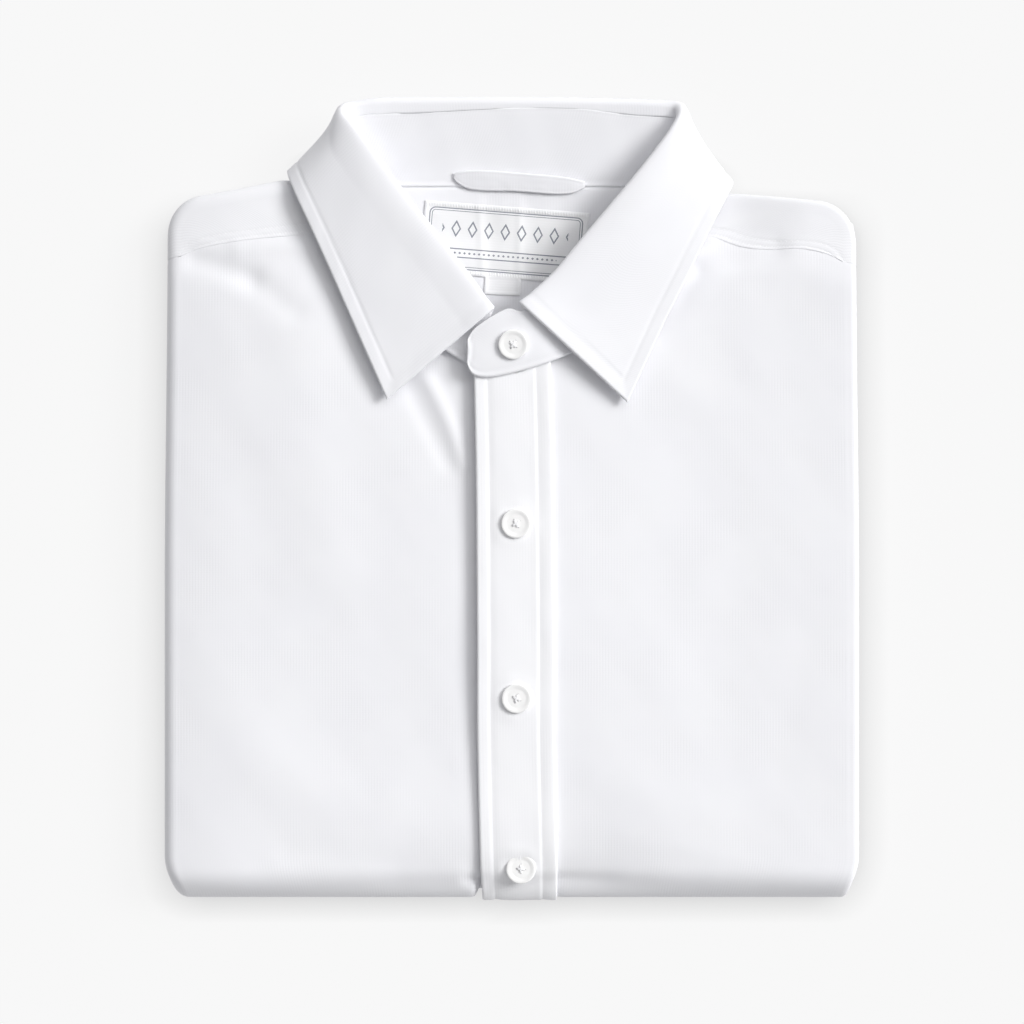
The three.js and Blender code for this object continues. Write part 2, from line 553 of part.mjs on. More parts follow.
// The sleeves lie between the halves, and their folds show as a bead along each side.
function sleeveLayer() {
  const middle = BEND_RADIUS;
  const profile = [
    { inset: 12, half: 2.9 }, { inset: 9.5, half: 2.9 }, { inset: 8, half: 1.1 }, { inset: 4.4, half: 1.1 },
    { inset: 3.2, half: 1.5 }, { inset: 2.0, half: 1.4 }, { inset: 1.2, half: 0.7 },
  ];
  const stops = [
    { y: -160, shift: 3.4 }, { y: -120, shift: 2.2 }, { y: -70, shift: 0.6 }, { y: -10, shift: 0.2 },
    { y: 50, shift: 1.2 }, { y: 95, shift: 0.4 }, { y: 121, shift: 1.4 },
  ];
  const rings = stops.map(({ y, shift }) => {
    const right = profile.map(({ inset, half }) => ({ x: HALF_WIDTH - inset - shift, half }));
    return [
      ...right.map(({ x, half }) => new THREE.Vector3(x, y, middle + half)),
      ...[...right].reverse().map(({ x, half }) => new THREE.Vector3(x, y, middle - half)),
      ...right.map(({ x, half }) => new THREE.Vector3(-x, y, middle - half)),
      ...[...right].reverse().map(({ x, half }) => new THREE.Vector3(-x, y, middle + half)),
    ];
  });
  const count = rings[0].length;
  const outline = rings[0].map((p) => new THREE.Vector2(p.x, p.z));
  const faces = THREE.ShapeUtils.triangulateShape(outline, []);
  const far = (rings.length - 1) * count;
  const triangles = [];
  for (const [a, b, c] of faces) triangles.push([a, b, c], [a + far, c + far, b + far]);
  const turnsLeft = THREE.ShapeUtils.area(outline) > 0;
  for (let i = 0; i < rings.length - 1; i++) {
    for (let j = 0; j < count; j++) {
      const next = (j + 1) % count;
      const quad = [i * count + j, i * count + next, (i + 1) * count + next, (i + 1) * count + j];
      const [a, b, c, d] = turnsLeft ? [quad[0], quad[3], quad[2], quad[1]] : quad;
      triangles.push([a, b, c], [a, c, d]);
    }
  }
  return solidOf(rings.flat(), triangles);
}

const pit = manifoldOf(prism(neckCut(0.4), YOKE_BACK_Z - CLOTH - SEAM_GAP, 60));
let hidden = manifoldOf(hiddenLayers()).add(manifoldOf(sleeveLayer())).subtract(pit);
for (const room of rooms) hidden = hidden.subtract(room);
const largest = hidden.simplify(0.03).decompose().sort((a, b) => b.volume() - a.volume())[0];
add('hidden_layers', geometryOf(largest), hiddenKnit);

// ---- Collar ----
// The rings, from the left front end round the back of the neck to the right front end.
const sections = [...LEFT_SECTIONS, BACK_SECTION, ...[...RIGHT_SECTIONS].reverse()];
const ringOf = (rows, key) => new THREE.CatmullRomCurve3(rows.map((row) => vector(row[key])), false, 'centripetal');

function gridAlong(rows, steps, lineAt) {
  const lines = [];
  const spans = (rows.length - 1) * steps;
  for (let k = 0; k <= spans; k++) lines.push(lineAt(k / spans));
  return lines;
}

const standRows = [...UNDER_STAND_END, ...sections, ...UPPER_STAND_END];
const standSeam = ringOf(standRows, 'seam');
const standTop = ringOf(standRows, 'top');
const standLines = gridAlong(standRows, 1, (t) => {
  const low = standSeam.getPoint(t);
  const high = standTop.getPoint(t);
  return [0, 0.33, 0.67, 1].map((share) => low.clone().lerp(high, share));
});
const stand = manifoldOf(wallAround(standLines, COLLAR_CLOTH));

// One section of the fall: up from the stand, over the roll and down to the outer edge.
const fallRows = [LEFT_FALL_END, ...sections, RIGHT_FALL_END];
const fallSeam = ringOf(fallRows, 'seam');
const fallTop = ringOf(fallRows, 'top');
const fallEdge = ringOf(fallRows, 'edge');
const fallRise = (t) => {
  const at = t * (fallRows.length - 1);
  const k = Math.min(Math.floor(at), fallRows.length - 2);
  return mix(fallRows[k].rise, fallRows[k + 1].rise, at - k);
};

function fallSection(t, gap) {
  const top = fallTop.getPoint(t);
  const edge = fallEdge.getPoint(t);
  const up = new THREE.Vector3().subVectors(top, fallSeam.getPoint(t)).normalize();
  const along = new THREE.Vector3().subVectors(
    fallTop.getPoint(Math.min(t + 0.01, 1)), fallTop.getPoint(Math.max(t - 0.01, 0))).normalize();
  const out = new THREE.Vector3().crossVectors(up, along).normalize();
  const backness = smooth(0.24, 0.34, t) * (1 - smooth(0.66, 0.76, t));
  const rise = mix(FRONT_ROLL_RISE, BACK_ROLL_RISE, backness);
  const points = [top.clone().addScaledVector(up, gap)];
  const centre = top.clone().addScaledVector(up, rise).addScaledVector(out, ROLL_RADIUS);
  for (const turn of degrees(0, 45, 90, 135, 180)) {
    points.push(centre.clone().addScaledVector(out, -ROLL_RADIUS * Math.cos(turn))
      .addScaledVector(up, ROLL_RADIUS * Math.sin(turn)));
  }
  const start = points[points.length - 1];
  const reach = start.distanceTo(edge);
  const bend = new THREE.CubicBezierCurve3(start,
    start.clone().addScaledVector(up, -0.3 * reach).addScaledVector(out, 0.3 * fallRise(t)),
    edge.clone().lerp(start, 0.3).addScaledVector(out, fallRise(t)), edge);
  for (const share of [0.2, 0.45, 0.7, 0.88, 1]) points.push(bend.getPoint(share));
  return points;
}
const fallLines = (gap) => gridAlong(fallRows, 1, (t) => fallSection(t, gap));
const fallRoom = manifoldOf(wallAround(fallLines(SEAM_GAP), COLLAR_CLOTH + 2 * SEAM_GAP));
add('collar_stand', geometryOf(stand.subtract(fallRoom)), knitDoubled);
add('collar_fall', wallAround(fallLines(2 * SEAM_GAP), COLLAR_CLOTH), knitDoubled);

// ---- Label, size tab and hanging loop inside the neck ----
function patch({ x, y, width, height, thickness, turn }, low) {
  const corners = [[-1, -1], [1, -1], [1, 1], [-1, 1]].map(([sx, sy]) => {
    const [dx, dy] = [sx * width / 2, sy * height / 2];
    return [x + dx * Math.cos(turn) - dy * Math.sin(turn), y + dx * Math.sin(turn) + dy * Math.cos(turn)];
  });
  return prism(corners, low, low + thickness);
}
add('neck_label', patch(LABEL, YOKE_BACK_Z + SEAM_GAP), satin);
add('size_tab', patch(SIZE_TAB, YOKE_BACK_Z + SEAM_GAP), satin);

function hangingLoop() {
  const lines = [];
  for (let k = 0; k <= 10; k++) {
    const share = k / 10;
    const x = mix(LOOP.x0, LOOP.x1, share);
    const arch = Math.sin(Math.PI * share) ** 0.6;
    const y = mix(LOOP.leftY, LOOP.rightY, share) - LOOP.sag * arch;
    const z = YOKE_BACK_Z + 4.1 + LOOP.lift * arch;
    const lean = 0.9 * arch;
    lines.push([-0.5, 0, 0.5].map((side) => new THREE.Vector3(
      x, y + side * LOOP.width * mix(0.45, 1, arch), z + side * lean)));
  }
  return wallAround(lines, LOOP.thickness);
}
add('hanging_loop', hangingLoop(), knit);

// ---- Buttons ----
function buttonGeometry() {
  const radius = BUTTON_DIAMETER / 2;
  const half = BUTTON_THICKNESS / 2;
  const outline = [[0, -half], [radius * 0.72, -half], [radius, -half * 0.2], [radius, half * 0.4],
    [radius * 0.9, half], [radius * 0.74, half], [radius * 0.6, half * 0.35], [0, half * 0.25]];
  const turned = new THREE.LatheGeometry(outline.map(([x, y]) => new THREE.Vector2(x, y)), 20);
  turned.rotateX(Math.PI / 2);
  let disc = manifoldOf(welded(turned));
  for (const [sx, sy] of [[1, 1], [1, -1], [-1, 1], [-1, -1]]) {
    const hole = new THREE.CylinderGeometry(0.7, 0.7, 2 * BUTTON_THICKNESS, 6).rotateX(Math.PI / 2);
    disc = disc.subtract(manifoldOf(welded(hole.translate(sx * 1.35, sy * 1.35, 0))));
  }
  return geometryOf(disc);
}

// Joins a geometry's vertices that share a place.
function welded(geometry) {
  const position = geometry.getAttribute('position');
  const index = geometry.getIndex();
  const places = new Map();
  const points = [];
  const number = Array.from({ length: position.count }, (_, i) => {
    const p = new THREE.Vector3().fromBufferAttribute(position, i);
    const key = p.toArray().map((value) => Math.round(value * 1e4)).join(' ');
    if (!places.has(key)) {
      places.set(key, points.length);
      points.push(p);
    }
    return places.get(key);
  });
  const triangles = [];
  for (let k = 0; k < index.count; k += 3) {
    const [a, b, c] = [0, 1, 2].map((step) => number[index.getX(k + step)]);
    if (a !== b && b !== c && c !== a) triangles.push([a, b, c]);
  }
  return solidOf(points, triangles);
}

const collarButton = add(COLLAR_BUTTON.name, buttonGeometry(), shell);
collarButton.position.set(COLLAR_BUTTON.x, COLLAR_BUTTON.y, COLLAR_BUTTON.z + SEAM_GAP + BUTTON_THICKNESS / 2);
collarButton.rotation.x = COLLAR_BUTTON.lean;

for (const { name, y } of BUTTONS) {
  const button = add(name, buttonGeometry(), shell);
  button.position.copy(bodyPoint(placketMiddle(y), y, PLACKET_TOP + SEAM_GAP + BUTTON_THICKNESS / 2));
}
for (const { name, y } of BUTTONS_BENEATH) {
  const run = runOfUnderside(y);
  const button = add(name, buttonGeometry(), shell);
  button.position.copy(bodyPoint(placketMiddle(run), run, PLACKET_TOP + SEAM_GAP + BUTTON_THICKNESS / 2));
  button.rotation.x = Math.PI;
}

export default shirt;
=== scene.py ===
"""Looks of a folded knitted cotton shirt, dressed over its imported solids.

Sizes are in millimetres, as a pattern cutter writes them, and turn to metres where a mesh is made.
"""
import math

import bpy
import numpy as np
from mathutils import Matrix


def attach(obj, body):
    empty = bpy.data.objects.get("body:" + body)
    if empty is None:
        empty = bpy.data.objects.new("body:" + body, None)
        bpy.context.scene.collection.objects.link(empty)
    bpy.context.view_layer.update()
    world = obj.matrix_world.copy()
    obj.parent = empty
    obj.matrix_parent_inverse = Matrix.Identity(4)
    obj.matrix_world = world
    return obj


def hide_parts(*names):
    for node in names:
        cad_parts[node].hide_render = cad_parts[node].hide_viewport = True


MM = 0.001

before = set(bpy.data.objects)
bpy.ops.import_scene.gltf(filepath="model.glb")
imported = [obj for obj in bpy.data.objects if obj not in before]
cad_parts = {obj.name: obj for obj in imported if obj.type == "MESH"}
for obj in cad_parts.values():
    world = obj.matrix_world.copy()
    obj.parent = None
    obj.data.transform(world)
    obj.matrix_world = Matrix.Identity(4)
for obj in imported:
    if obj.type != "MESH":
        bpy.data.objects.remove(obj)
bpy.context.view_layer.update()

# ---------------------------------------------------------------- sizes of the folded stack
HALF_WIDTH = 156.5
BOTTOM_Y = -178.9
BUNDLE = 12.0
SLEEVE_LAYER = 2.4
STACK = 2 * BUNDLE + SLEEVE_LAYER
SEAM_GAP = 0.3
CLOTH = 1.2
PLACKET_CLOTH = 2.0
UNDER_PLACKET_CLOTH = 1.4
COLLAR_CLOTH = 1.8
FOLD_RADIUS = BUNDLE / 2
FLAT_HALF = HALF_WIDTH - FOLD_RADIUS
BEND_RADIUS = STACK / 2
BEND_Y = BOTTOM_Y + BEND_RADIUS
TAIL_START = 126 - FOLD_RADIUS
UNDER_PLACKET_TOP = SEAM_GAP + UNDER_PLACKET_CLOTH
LEFT_FRONT_RAISE = UNDER_PLACKET_TOP + SEAM_GAP + CLOTH
PLACKET_TOP = LEFT_FRONT_RAISE + SEAM_GAP + PLACKET_CLOTH
PLACKET_WIDTH = 34.8
PLACKET_TOP_Y = 57.0
UNDER_PLACKET_WIDTH = 24
CLOSURE_SINK = 4.2
SHOULDER_DROOP = 3.2
NECK_HALF = 71
LAYER_HALF = 4.3
BUTTON_ACROSS = 13.3
BUTTON_THICK = 1.8
BUTTON_GAP = 0.05
BUTTON_DISH = 0.4
HOLE_RADIUS = 0.33
THREAD_RADIUS = 0.34
BUTTONHOLE_HALF = 8.2
STITCH_PITCH = 2.6

# x0, y0, x1, y1, width, height: the panels' largest soft folds, as in the solids
SOFT_FOLDS = [
    (-144, 107, -118, 99, 5, -1.3),
    (-118, 99, -98, 85, 6, -0.8),
    (-124, 112, -88, 116, 4, 0.6),
    (-38, 54, -21, 16, 3.6, 1.1),
    (-46, 52, -30, 16, 4, -0.6),
    (-62, 36, -34, -40, 18, 0.6),
    (-96, 74, -90, -30, 21, 1.5),
    (66, 78, 84, 103, 5, -1.2),
    (84, 103, 120, 113, 5, -1.1),
    (112, 110, 150, 96, 9, 0.6),
    (40, -128, 92, -140, 13, 0.5),
    (-110, -120, -60, -140, 16, 0.8),
]
# the same columns: finer creases that pressing and stacking leave
FINE_CREASES = [
    (-128, 78, -112, 20, 9.0, 0.2),
    (-96, 10, -88, -50, 12.0, -0.3),
    (-70, -60, -120, -100, 9.0, 0.25),
    (-100, -158, -52, -162, 6.0, -0.25),
    (30, 20, 44, -40, 10.0, -0.2),
    (60, 60, 96, 40, 9.0, 0.25),
    (120, 70, 134, 10, 10.0, -0.2),
    (90, -20, 70, -80, 12.0, 0.25),
    (132, -60, 120, -120, 9.0, -0.25),
    (44, -158, 84, -163, 6.0, -0.25),
]
# across the front, how far above the large fold the cloth begins to sink towards it
BOTTOM_SAG = [(-157, 9), (-110, 14), (-75, 24), (-45, 34), (-20, 38), (22, 43), (38, 40), (55, 31),
              (90, 23), (130, 14), (157, 9)]
SAG_SHARE = 0.17
# where the middle of the closure lies: place along the body, then x
PLACKET_MIDDLE = [(57, 0.3), (13, 1.3), (-60, 1.9), (-108, 2.0), (-182, 3.7)]
# height of the placket's face from its left edge to its right: thick folded edges fall away to the
# two stitched lines
PLACKET_FACE = [(0, 0.06), (1.3, 0.1), (5.0, -0.06), (5.9, -0.38), (6.7, -0.3), (8.8, -0.08), (11, 0.0),
                (15, 0.05), (24, 0.0), (27.5, -0.02), (27.9, -0.34), (28.7, -0.24), (30.6, -0.02),
                (32.2, 0.08), (33.5, 0.06), (34.8, -0.08)]
PLACKET_STITCHES = (5.9, 27.9)
# how much the seam between stand and fall is arched at the back of the neck
BACK_ARCH = [(-58, 0), (-42, 0.5), (-15, 2.0), (8, 2.9), (31, 2.6), (42, 1.4), (56, 0)]
# seams of the fronts with the yoke, the neckline and the outer edge of the shoulders, in plan
LEFT_SEAM = [(-156.5, 107.5), (-140, 113.2), (-118, 117), (-95, 119), (-71, 121.5)]
RIGHT_SEAM = [(71, 119.5), (91, 118), (104, 113.8), (117, 112.4), (131, 112.8), (141, 111), (149, 108.4),
              (156.5, 104.5)]
NECKLINE = [(-71, 121.5), (-60.5, 106), (-46, 88), (-29, 72.5), (-14, 64.5), (0, 62), (14, 64.5),
            (29, 72), (46, 87), (60.5, 104), (71, 119.5)]
LEFT_SHOULDER = [(-138.5, 137.4), (-120, 140.8), (-104, 144), (-92, 142.6)]
RIGHT_SHOULDER = [(136.5, 134.8), (118, 136.6), (103, 137.8), (92, 137.6)]

# seam on the body, top of the stand, outer edge of the fall, rise of the leaf between them
LEFT_SECTIONS = [
    ((-33, 69, 28.3), (-20, 97, 32.6), (-63, 60.5, 31.5), 0.2),
    ((-50, 84, 28.3), (-33, 113.5, 32.8), (-72, 81, 31.5), 0.2),
    ((-65, 102.5, 28.2), (-47, 131, 32.8), (-81, 101.5, 31.2), 0.2),
    ((-77, 121, 27.2), (-60, 148, 32.6), (-90, 121.5, 30.2), 0.4),
    ((-84, 133, 25.4), (-71, 163.5, 31.2), (-97.5, 138, 27.6), 0.4),
    ((-86.5, 139.5, 22.2), (-76.2, 168.4, 27.8), (-100.6, 147.2, 19.6), 0),
    ((-82.5, 141, 19.2), (-73.4, 171.4, 24.8), (-94, 144, 11.4), 0),
    ((-66, 141, 18.4), (-61, 173.3, 24.0), (-72, 137, 10.6), 0),
    ((-33, 141, 18.4), (-31, 173.5, 23.8), (-35, 135, 10.4), 0),
]
BACK_SECTION = ((0, 141, 18.4), (0, 173.5, 23.8), (0, 134.5, 10.4), 0)
RIGHT_SECTIONS = [
    ((33, 69, 30.2), (20, 98, 33.6), (59, 58.5, 32.5), 0.5),
    ((50, 84, 28.5), (33, 113.5, 33.3), (68.5, 79, 32.0), 0.2),
    ((65, 102, 28.2), (47, 130, 33.3), (78.5, 99, 31.4), 0.2),
    ((77, 119, 27.0), (60.5, 146.5, 33.0), (88, 118.5, 30.2), 0.4),
    ((84, 130, 25.2), (71.5, 161.5, 31.4), (95.5, 133.5, 27.6), 0.4),
    ((86.5, 136.5, 22.2), (76, 168.6, 28.0), (99.4, 142.2, 19.6), 0),
    ((82.5, 139.5, 19.2), (74, 171.5, 24.8), (93.5, 140, 11.4), 0),
    ((66, 140.6, 18.4), (61, 172.6, 24.0), (72, 135.5, 10.6), 0),
    ((33, 141, 18.4), (31, 173.3, 23.8), (35, 135, 10.4), 0),
]
LEFT_FALL_END = ((-18, 60.6, 29.0), (-9.3, 82.2, 32.2), (-56, 44.6, 30.8), 0.8)
RIGHT_FALL_END = ((19, 62.2, 32.8), (5.3, 84.6, 35.2), (52, 43.2, 32.7), 2.0)
UNDER_STAND_END = [
    ((11.6, 59.6, 29.5), (11, 74.5, 31.0)),
    ((-3, 59.4, 29.5), (-0.5, 77.5, 31.2)),
    LEFT_FALL_END,
]
UPPER_STAND_END = [
    RIGHT_FALL_END,
    ((2, 56.9, 32.9), (-1.5, 85.4, 35.1)),
    ((-11, 54.6, 32.9), (-10.0, 81.2, 35.0)),
    ((-17.6, 56.0, 33.0), (-16.9, 76.2, 34.6)),
    ((-20.2, 61.0, 33.4), (-20.0, 71.2, 34.2)),
]
ROLL_RADIUS = 2.0
ROLL_SLOPE = 15.0
BACK_ROLL_RISE = 4.4
FRONT_ROLL_RISE = 1.2
# the collar's stitched lines, from the fall's edges, the stand's foot and the seam between the two
FALL_INSET = 6.3
FOOT_INSET = 2.3
JOIN_INSET = 1.2
YOKE_BACK_Z = 17.0
# the yoke's two stitched lines, from its seam
YOKE_STITCHES = (2.2, 6.6)
# thickness of the label and the tab, then the middle, size and turn of each
PATCH_CLOTH = 0.5
LABEL = dict(x=-3.2, y=115.8, width=74.4, height=32.4, turn=-0.078)
SIZE_TAB = dict(x=-4.1, y=96.5, width=16.4, height=9.0, turn=-0.05)


# ---------------------------------------------------------------- shapes in numbers
FULL_TURN = 6.28


def mix(a, b, t):
    """The value a share t of the way from a to b."""
    return a + (b - a) * t


def smooth(start, end, value):
    """Rises gently from 0 at start to 1 at end."""
    t = np.clip((value - start) / (end - start), 0, 1)
    return t * t * (3 - 2 * t)


def bump(value, centre, width):
    """A rounded rise of 1 at the centre, that fades over the width."""
    return np.exp(-(((value - centre) / width) ** 2))


def curve_at(table, x):
    """The smooth curve through (x, y) rows, at each x."""
    xs, ys = np.array(sorted(table), float).T
    before = np.maximum(np.arange(len(xs)) - 1, 0)
    after = np.minimum(np.arange(len(xs)) + 1, len(xs) - 1)
    slopes = (ys[after] - ys[before]) / (xs[after] - xs[before])
    at = np.clip(x, xs[0], xs[-1])
    k = np.clip(np.searchsorted(xs, at) - 1, 0, len(xs) - 2)
    span = xs[k + 1] - xs[k]
    t = (at - xs[k]) / span
    return ((2 * t**3 - 3 * t**2 + 1) * ys[k] + (t**3 - 2 * t**2 + t) * span * slopes[k]
            + (3 * t**2 - 2 * t**3) * ys[k + 1] + (t**3 - t**2) * span * slopes[k + 1])


def uneven(x, y, size, seed=0.0):
    """Slow unevenness between -1 and 1, about size millimetres from crest to crest."""
    a, b = x / size * FULL_TURN, y / size * FULL_TURN
    waves = np.sin(0.91 * a + 0.37 * b + seed) + np.sin(-0.53 * a + 0.88 * b + 2.1 + 1.7 * seed)
    waves = waves + np.sin(0.31 * a - 0.97 * b + 4.4 + 0.6 * seed)
    return (waves + np.sin(1.63 * a + 1.21 * b + 0.9 * seed) * 0.6) / 3.6


def folds(table, x, y):
    """Height of a table of soft folds at a place in plan."""
    height = 0.0
    for x0, y0, x1, y1, width, tall in table:
        dx, dy = x1 - x0, y1 - y0
        near = np.clip(((x - x0) * dx + (y - y0) * dy) / (dx * dx + dy * dy), 0, 1)
        length = math.hypot(dx, dy)
        # no fold runs quite straight
        bend = 0.18 * width * np.sin(3.4 * near + x0)
        away = np.hypot(x - x0 - near * dx + bend * dy / length, y - y0 - near * dy - bend * dx / length)
        height = height + tall * bump(away, 0, width)
    return height


def relief(x, y):
    """Height of the upper face above the stack: drooping shoulders, soft folds and fine creases."""
    soft = folds(SOFT_FOLDS, x, y) + folds(FINE_CREASES, x, y)
    soft = soft + 0.3 * uneven(x, y, 84) + 0.1 * uneven(x, y, 31, 1.3)
    # the left side falls away to its fold
    soft = soft - 1.9 * np.clip((-121 - x) / 30, 0, 1.2) ** 2
    # the closure lies flat, and the right shoulder dips beside the collar
    beside_closure = smooth(17, 30, np.abs(x - 2))
    dip = -3.2 * smooth(136, 100, x) * smooth(72, 88, x) * smooth(100, 122, y)
    return -SHOULDER_DROOP * smooth(88, 140, y) + soft * beside_closure + dip


def bottom_sag(x, y):
    """How far the cloth sinks towards the large fold."""
    reach = curve_at(BOTTOM_SAG, x)
    return -SAG_SHARE * reach * (np.maximum(reach - (y - BOTTOM_Y), 0) / reach) ** 2


def face_relief(x, run):
    """The relief all along the body. It dies away on the way round the large fold."""
    angle = np.clip((BEND_Y - run) / BEND_RADIUS, 0, math.pi / 2)
    above = np.maximum(run, BEND_Y)
    return (relief(x, above) + bottom_sag(x, above - BEND_RADIUS * np.sin(angle))) * np.cos(angle)


def left_front_raise(x):
    """How far the closure's layers lift the left front."""
    return LEFT_FRONT_RAISE * (1 - smooth(19, 105, x))


def closure_droop(run):
    """How much lower the closure lies towards the large fold, where the stack is pressed hardest."""
    return 2.5 * smooth(-60, -155, run) * smooth(1.6, 0.3, (BEND_Y - run) / BEND_RADIUS)


def beneath_closure(x):
    """Share of the closure's droop that a front takes part in."""
    return np.where(x < 2, smooth(-14.5, -11, x), 1 - smooth(19, 88, x))


def closure_sink(x, run):
    """How far the stack gives way under the closure, round the large fold and flat on the underside."""
    angle = (BEND_Y - run) / BEND_RADIUS
    # beside the placket the front keeps its level at the fold, but draws in just above it on the left
    left = mix(smooth(-15, -25, x), smooth(-14.8, -17.6, x), smooth(0.5, 1.2, angle))
    right = 1 - mix(1.0, left_front_raise(x) / CLOSURE_SINK, smooth(20.0, 22.5, x))
    under = np.where(x < 2, smooth(-16, -24, x), smooth(23, 56, x))
    pressed = PLACKET_TOP + SEAM_GAP + 2.6
    return -(CLOSURE_SINK * smooth(-0.8, 1.7, angle) * (1 - np.where(x < 2, left, right))
             + (pressed - CLOSURE_SINK) * smooth(1.7, 3.6, angle) * (1 - under)
             + closure_droop(run) * beneath_closure(x))


def settled(points):
    """The pack narrows a little towards the collar and at the corners of the large fold."""
    x, y, z = np.moveaxis(points, -1, 0)
    narrower = 1 - 0.008 * smooth(-40, 115, y) - 0.034 * smooth(-160, -182, y)
    return np.stack([x * narrower, y - 1.1 * smooth(-100, -172, y), z], -1)


def edge_turn(turn, side):
    """Sine and cosine round a long side. The right side is pressed squarer than the left."""
    power = np.where(side > 0, 0.4, 1.0)
    return np.maximum(np.sin(turn), 0) ** power, np.sign(np.cos(turn)) * np.abs(np.cos(turn)) ** power


def along_run(x, run, height, face):
    """Lays a height above the stack's outer face at its place round the large fold."""
    x, run, height, face = np.broadcast_arrays(x, run, height, face)
    angle = np.clip((BEND_Y - run) / BEND_RADIUS, 0, math.pi)
    radius = BEND_RADIUS + height
    y = BEND_Y - radius * np.sin(angle) + np.maximum(run - BEND_Y, 0)
    z = BEND_RADIUS + radius * np.cos(angle)
    under = BEND_Y - math.pi * BEND_RADIUS - run
    y = np.where(under > 0, BEND_Y + under, y)
    # the tail turns up between the halves
    turn = np.maximum(y - TAIL_START, 0) * (under > 0) / FOLD_RADIUS
    tail = np.maximum(FOLD_RADIUS - face / 2 + height, 0.05)
    y = np.where(turn > 0, TAIL_START + tail * np.sin(turn), y)
    z = np.where(turn > 0, FOLD_RADIUS - face / 2 - tail * np.cos(turn), z)
    return settled(np.stack([x, y, z], -1))


def body_point(across, run, level):
    """A point of the folded body, level millimetres out from the cloth's face."""
    side = np.where(across < 0, -1.0, 1.0)
    turn = np.maximum(0, np.abs(across) - FLAT_HALF) / FOLD_RADIUS
    x = side * np.minimum(np.abs(across), FLAT_HALF)
    out = (face_relief(x, run) + closure_sink(x, run)) * np.where(turn > 0, 0.5, 1.0)
    sine, cosine = edge_turn(turn, side)
    height = np.where(turn > 0, -FOLD_RADIUS + out + (FOLD_RADIUS + out + level) * cosine, out + level)
    return along_run(x + side * (FOLD_RADIUS + level) * sine, run, height, out)


def run_of_underside(y):
    """Place along the body of a point of the underside, from its y."""
    return BEND_Y - math.pi * BEND_RADIUS - (y - BEND_Y)


def placket_middle(run):
    """Where the middle of the closure lies across the body."""
    return curve_at(PLACKET_MIDDLE, run)


def stops(start, end, step, fine_start=True, fine_end=True):
    """Places from start to end, closer together where an edge is rounded."""
    near = np.array([0.0, 0.1, 0.3, 0.65, 1.1])
    length = abs(end - start)
    low, high = (1.6 if fine_start else 0), (1.6 if fine_end else 0)
    middle = np.linspace(low, length - high, max(3, int(round((length - low - high) / step)) + 1))
    parts = [near] if fine_start else []
    parts.append(middle)
    if fine_end:
        parts.append(length - near[::-1])
    return start + math.copysign(1, end - start) * np.concatenate(parts)


def rounded(distance, radius=0.9, least=0.06):
    """Share of the thickness left near an edge. A sewn edge keeps more of it than a free one."""
    return np.maximum(np.sqrt(1 - (1 - np.clip(distance / radius, 0, 1)) ** 2), least)


def seam(distance, stitch, along, puff, seed, deep):
    """Height over a topstitched edge: a welt, a stitched groove and small puckers along it."""
    pucker = 0.5 * uneven(along, distance * 0.5, 9.0, seed)
    pucker = pucker + 0.5 * uneven(along, distance * 0.3, 21.0, seed + 2)
    welt = puff * np.clip(1 - distance / stitch, 0, 1) * (1 + 0.4 * pucker)
    dimple = 0.8 + 0.2 * np.cos(2 * math.pi * along / STITCH_PITCH)
    groove = -deep * bump(distance, stitch, 0.65) * dimple
    return welt + groove + 0.3 * deep * pucker * bump(distance, stitch, 3.5)


# ---------------------------------------------------------------- colours and materials
def linear(code):
    """An sRGB hex colour as the linear colour that a shader takes."""
    parts = [int(code[i:i + 2], 16) / 255 for i in (1, 3, 5)]
    return tuple(c / 12.92 if c <= 0.04045 else ((c + 0.055) / 1.055) ** 2.4 for c in parts) + (1.0,)


def add(material, kind, settings=(), links=()):
    """Adds one node. settings are inputs or attributes, and links are its inputs and what feeds them."""
    node = material.node_tree.nodes.new(kind)
    for key, value in dict(settings).items():
        if isinstance(key, str) and hasattr(node, key) and key not in node.inputs:
            setattr(node, key, value)
        else:
            node.inputs[key].default_value = value
    for key, source in dict(links).items():
        material.node_tree.links.new(source, node.inputs[key])
    return node


# distance between the columns and between the rows of the knit's loops
WALE = 1.3
COURSE = 1.05
# height on the label, pitch, half width, half height, how far out they go, and their share that is ink:
# a row of small full lozenges between the rules and a row of large open ones above
LABEL_LOZENGES = [
    (-0.0063, 0.0022, 0.0007, 0.0006, 0.024, [(0.0, 0.9)]),
    (0.0046, 0.0074, 0.0024, 0.0042, 0.0285, [(0.62, 0.92)]),
]


def new_material(name):
    """An empty material with nodes."""
    material = bpy.data.materials.new(name)
    material.use_nodes = True
    material.node_tree.nodes.clear()
    return material


def finish_with(material, shader):
    """Ends a material with its shader."""
    output = material.node_tree.nodes.new("ShaderNodeOutputMaterial")
    material.node_tree.links.new(shader.outputs[0], output.inputs["Surface"])
    return material


